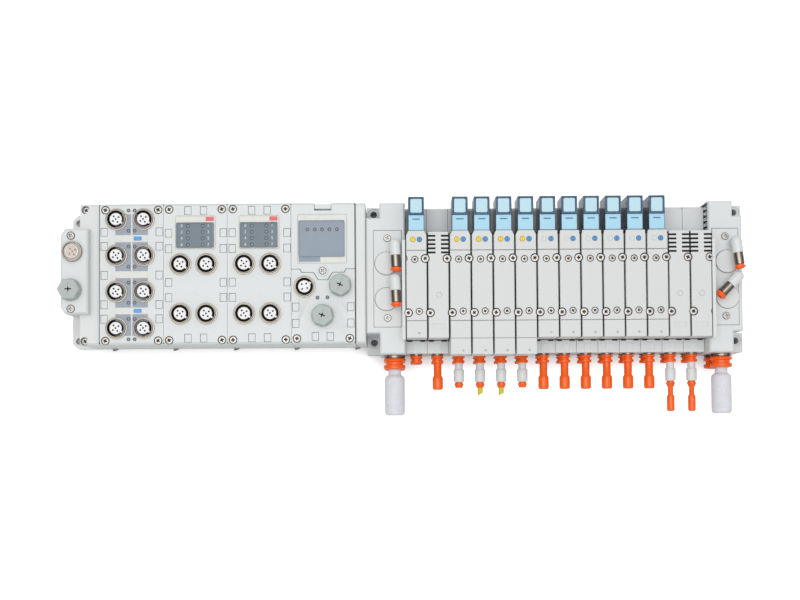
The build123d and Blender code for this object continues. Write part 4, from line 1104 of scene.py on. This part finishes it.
painted_grey = painted("aluminium_cast_powder_coated_grey", "#dfe2e1")
end_casting = from_cad("end_plate", "end_plate_casting")
cut(end_casting, all_rounds("screw_wells", 3.0, (50.5, 60), [(-350.9, 48.1), (-351.6, -49.2)]))
round_edges(end_casting, 0.5, 3)
fit(end_casting, "island", painted_grey)
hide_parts("end_plate")
well_screws = set_copies(cross_screw("well_screw", 2.7, 2.6), "end_plate_screws",
                         [(-350.9, 48.1, 50.6, (0, 0, 40)), (-351.6, -49.2, 50.6, (0, 0, 10))])
fit(well_screws, "island")


# Power block: a moulded polybutylene bridge over the end plate, with the power plug and its cap.
bridge = from_cad("power_block", "power_block_moulded")
cut(bridge, all_rounds("screw_wells", 3.2, (62.9, 66), [(-359.6, 27.9), (-359.6, -25.8)]))
round_edges(bridge, 0.9, 4)
fit(bridge, "island", pale_polybutylene)
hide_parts("power_block")
bridge_screws = set_copies(cross_screw("bridge_screw", 2.85, 1.2), "power_block_screws",
                           [(-359.6, 27.9, 62.95, (0, 0, 30)), (-359.6, -25.8, 62.95, (0, 0, 75))])
fit(bridge_screws, "island")

plug_shell = turned("plug_shell", [(64.0, 7.4), (64.6, 7.5), (66.2, 7.5), (66.5, 7.2), (66.5, 6.6),
                    (66.3, 6.4), (61.5, 6.4)], 64)
plug_shell = set_copies(plug_shell, "power_plug_shell", [(-358.5, 16.2, 0, (0, 0, 0))])
fit(plug_shell, "island", socket_nickel)
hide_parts("power_plug")
plug_core = turned("plug_core", [(61.6, 4.9), (65.9, 4.9), (66.2, 4.7), (66.2, 4.3), (65.9, 4.1),
                   (63.6, 4.1)], 48)
plug_core = set_copies(plug_core, "power_plug_core", [(-358.5, 16.2, 0, (0, 0, 0))])
fit(plug_core, "island", white_carrier)
plug_floor = turned("plug_floor", [(61.6, 6.45), (64.6, 6.45), (64.9, 6.2), (64.4, 5.0)], 48)
plug_floor = set_copies(plug_floor, "power_plug_floor", [(-358.5, 16.2, 0, (0, 0, 0))])
warm_white = moulded("polyamide_moulded_warm_white", "#d8d0c9", roughness=0.4, relief=0.02)
fit(plug_floor, "island", warm_white)
contact = turned("contact", [(63.5, 0.5), (65.2, 0.5), (65.5, 0.25)], 16)
contacts = set_copies(contact, "power_plug_contacts", [(-358.5 + x, 16.2 + y, 0, (0, 0, 0))
                      for x, y in five])
gold_contact = turned_metal("brass_gold_plated", "#b98a5c", 0.3)
fit(contacts, "island", gold_contact)


# Valve plate: the painted plate between the units and the valves, standing on the same base.
joint_plate = from_cad("valve_plate", "valve_plate_casting")
round_edges(joint_plate, 1.2, 4)
fit(joint_plate, "island", painted_grey)
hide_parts("valve_plate")


# Joint screws: zinc plated screws under the front edge that draw neighbouring units together.
joint_spots = [(x, -51.9, 5.5, (90, 0, 20)) for x in (-339.8, -292.8, -245.8, -198.8, -151.8)]
joint_screws = set_copies(cross_screw("joint_screw", 2.3, 1.5), "unit_joint_screws", joint_spots)
fit(joint_screws, "island")
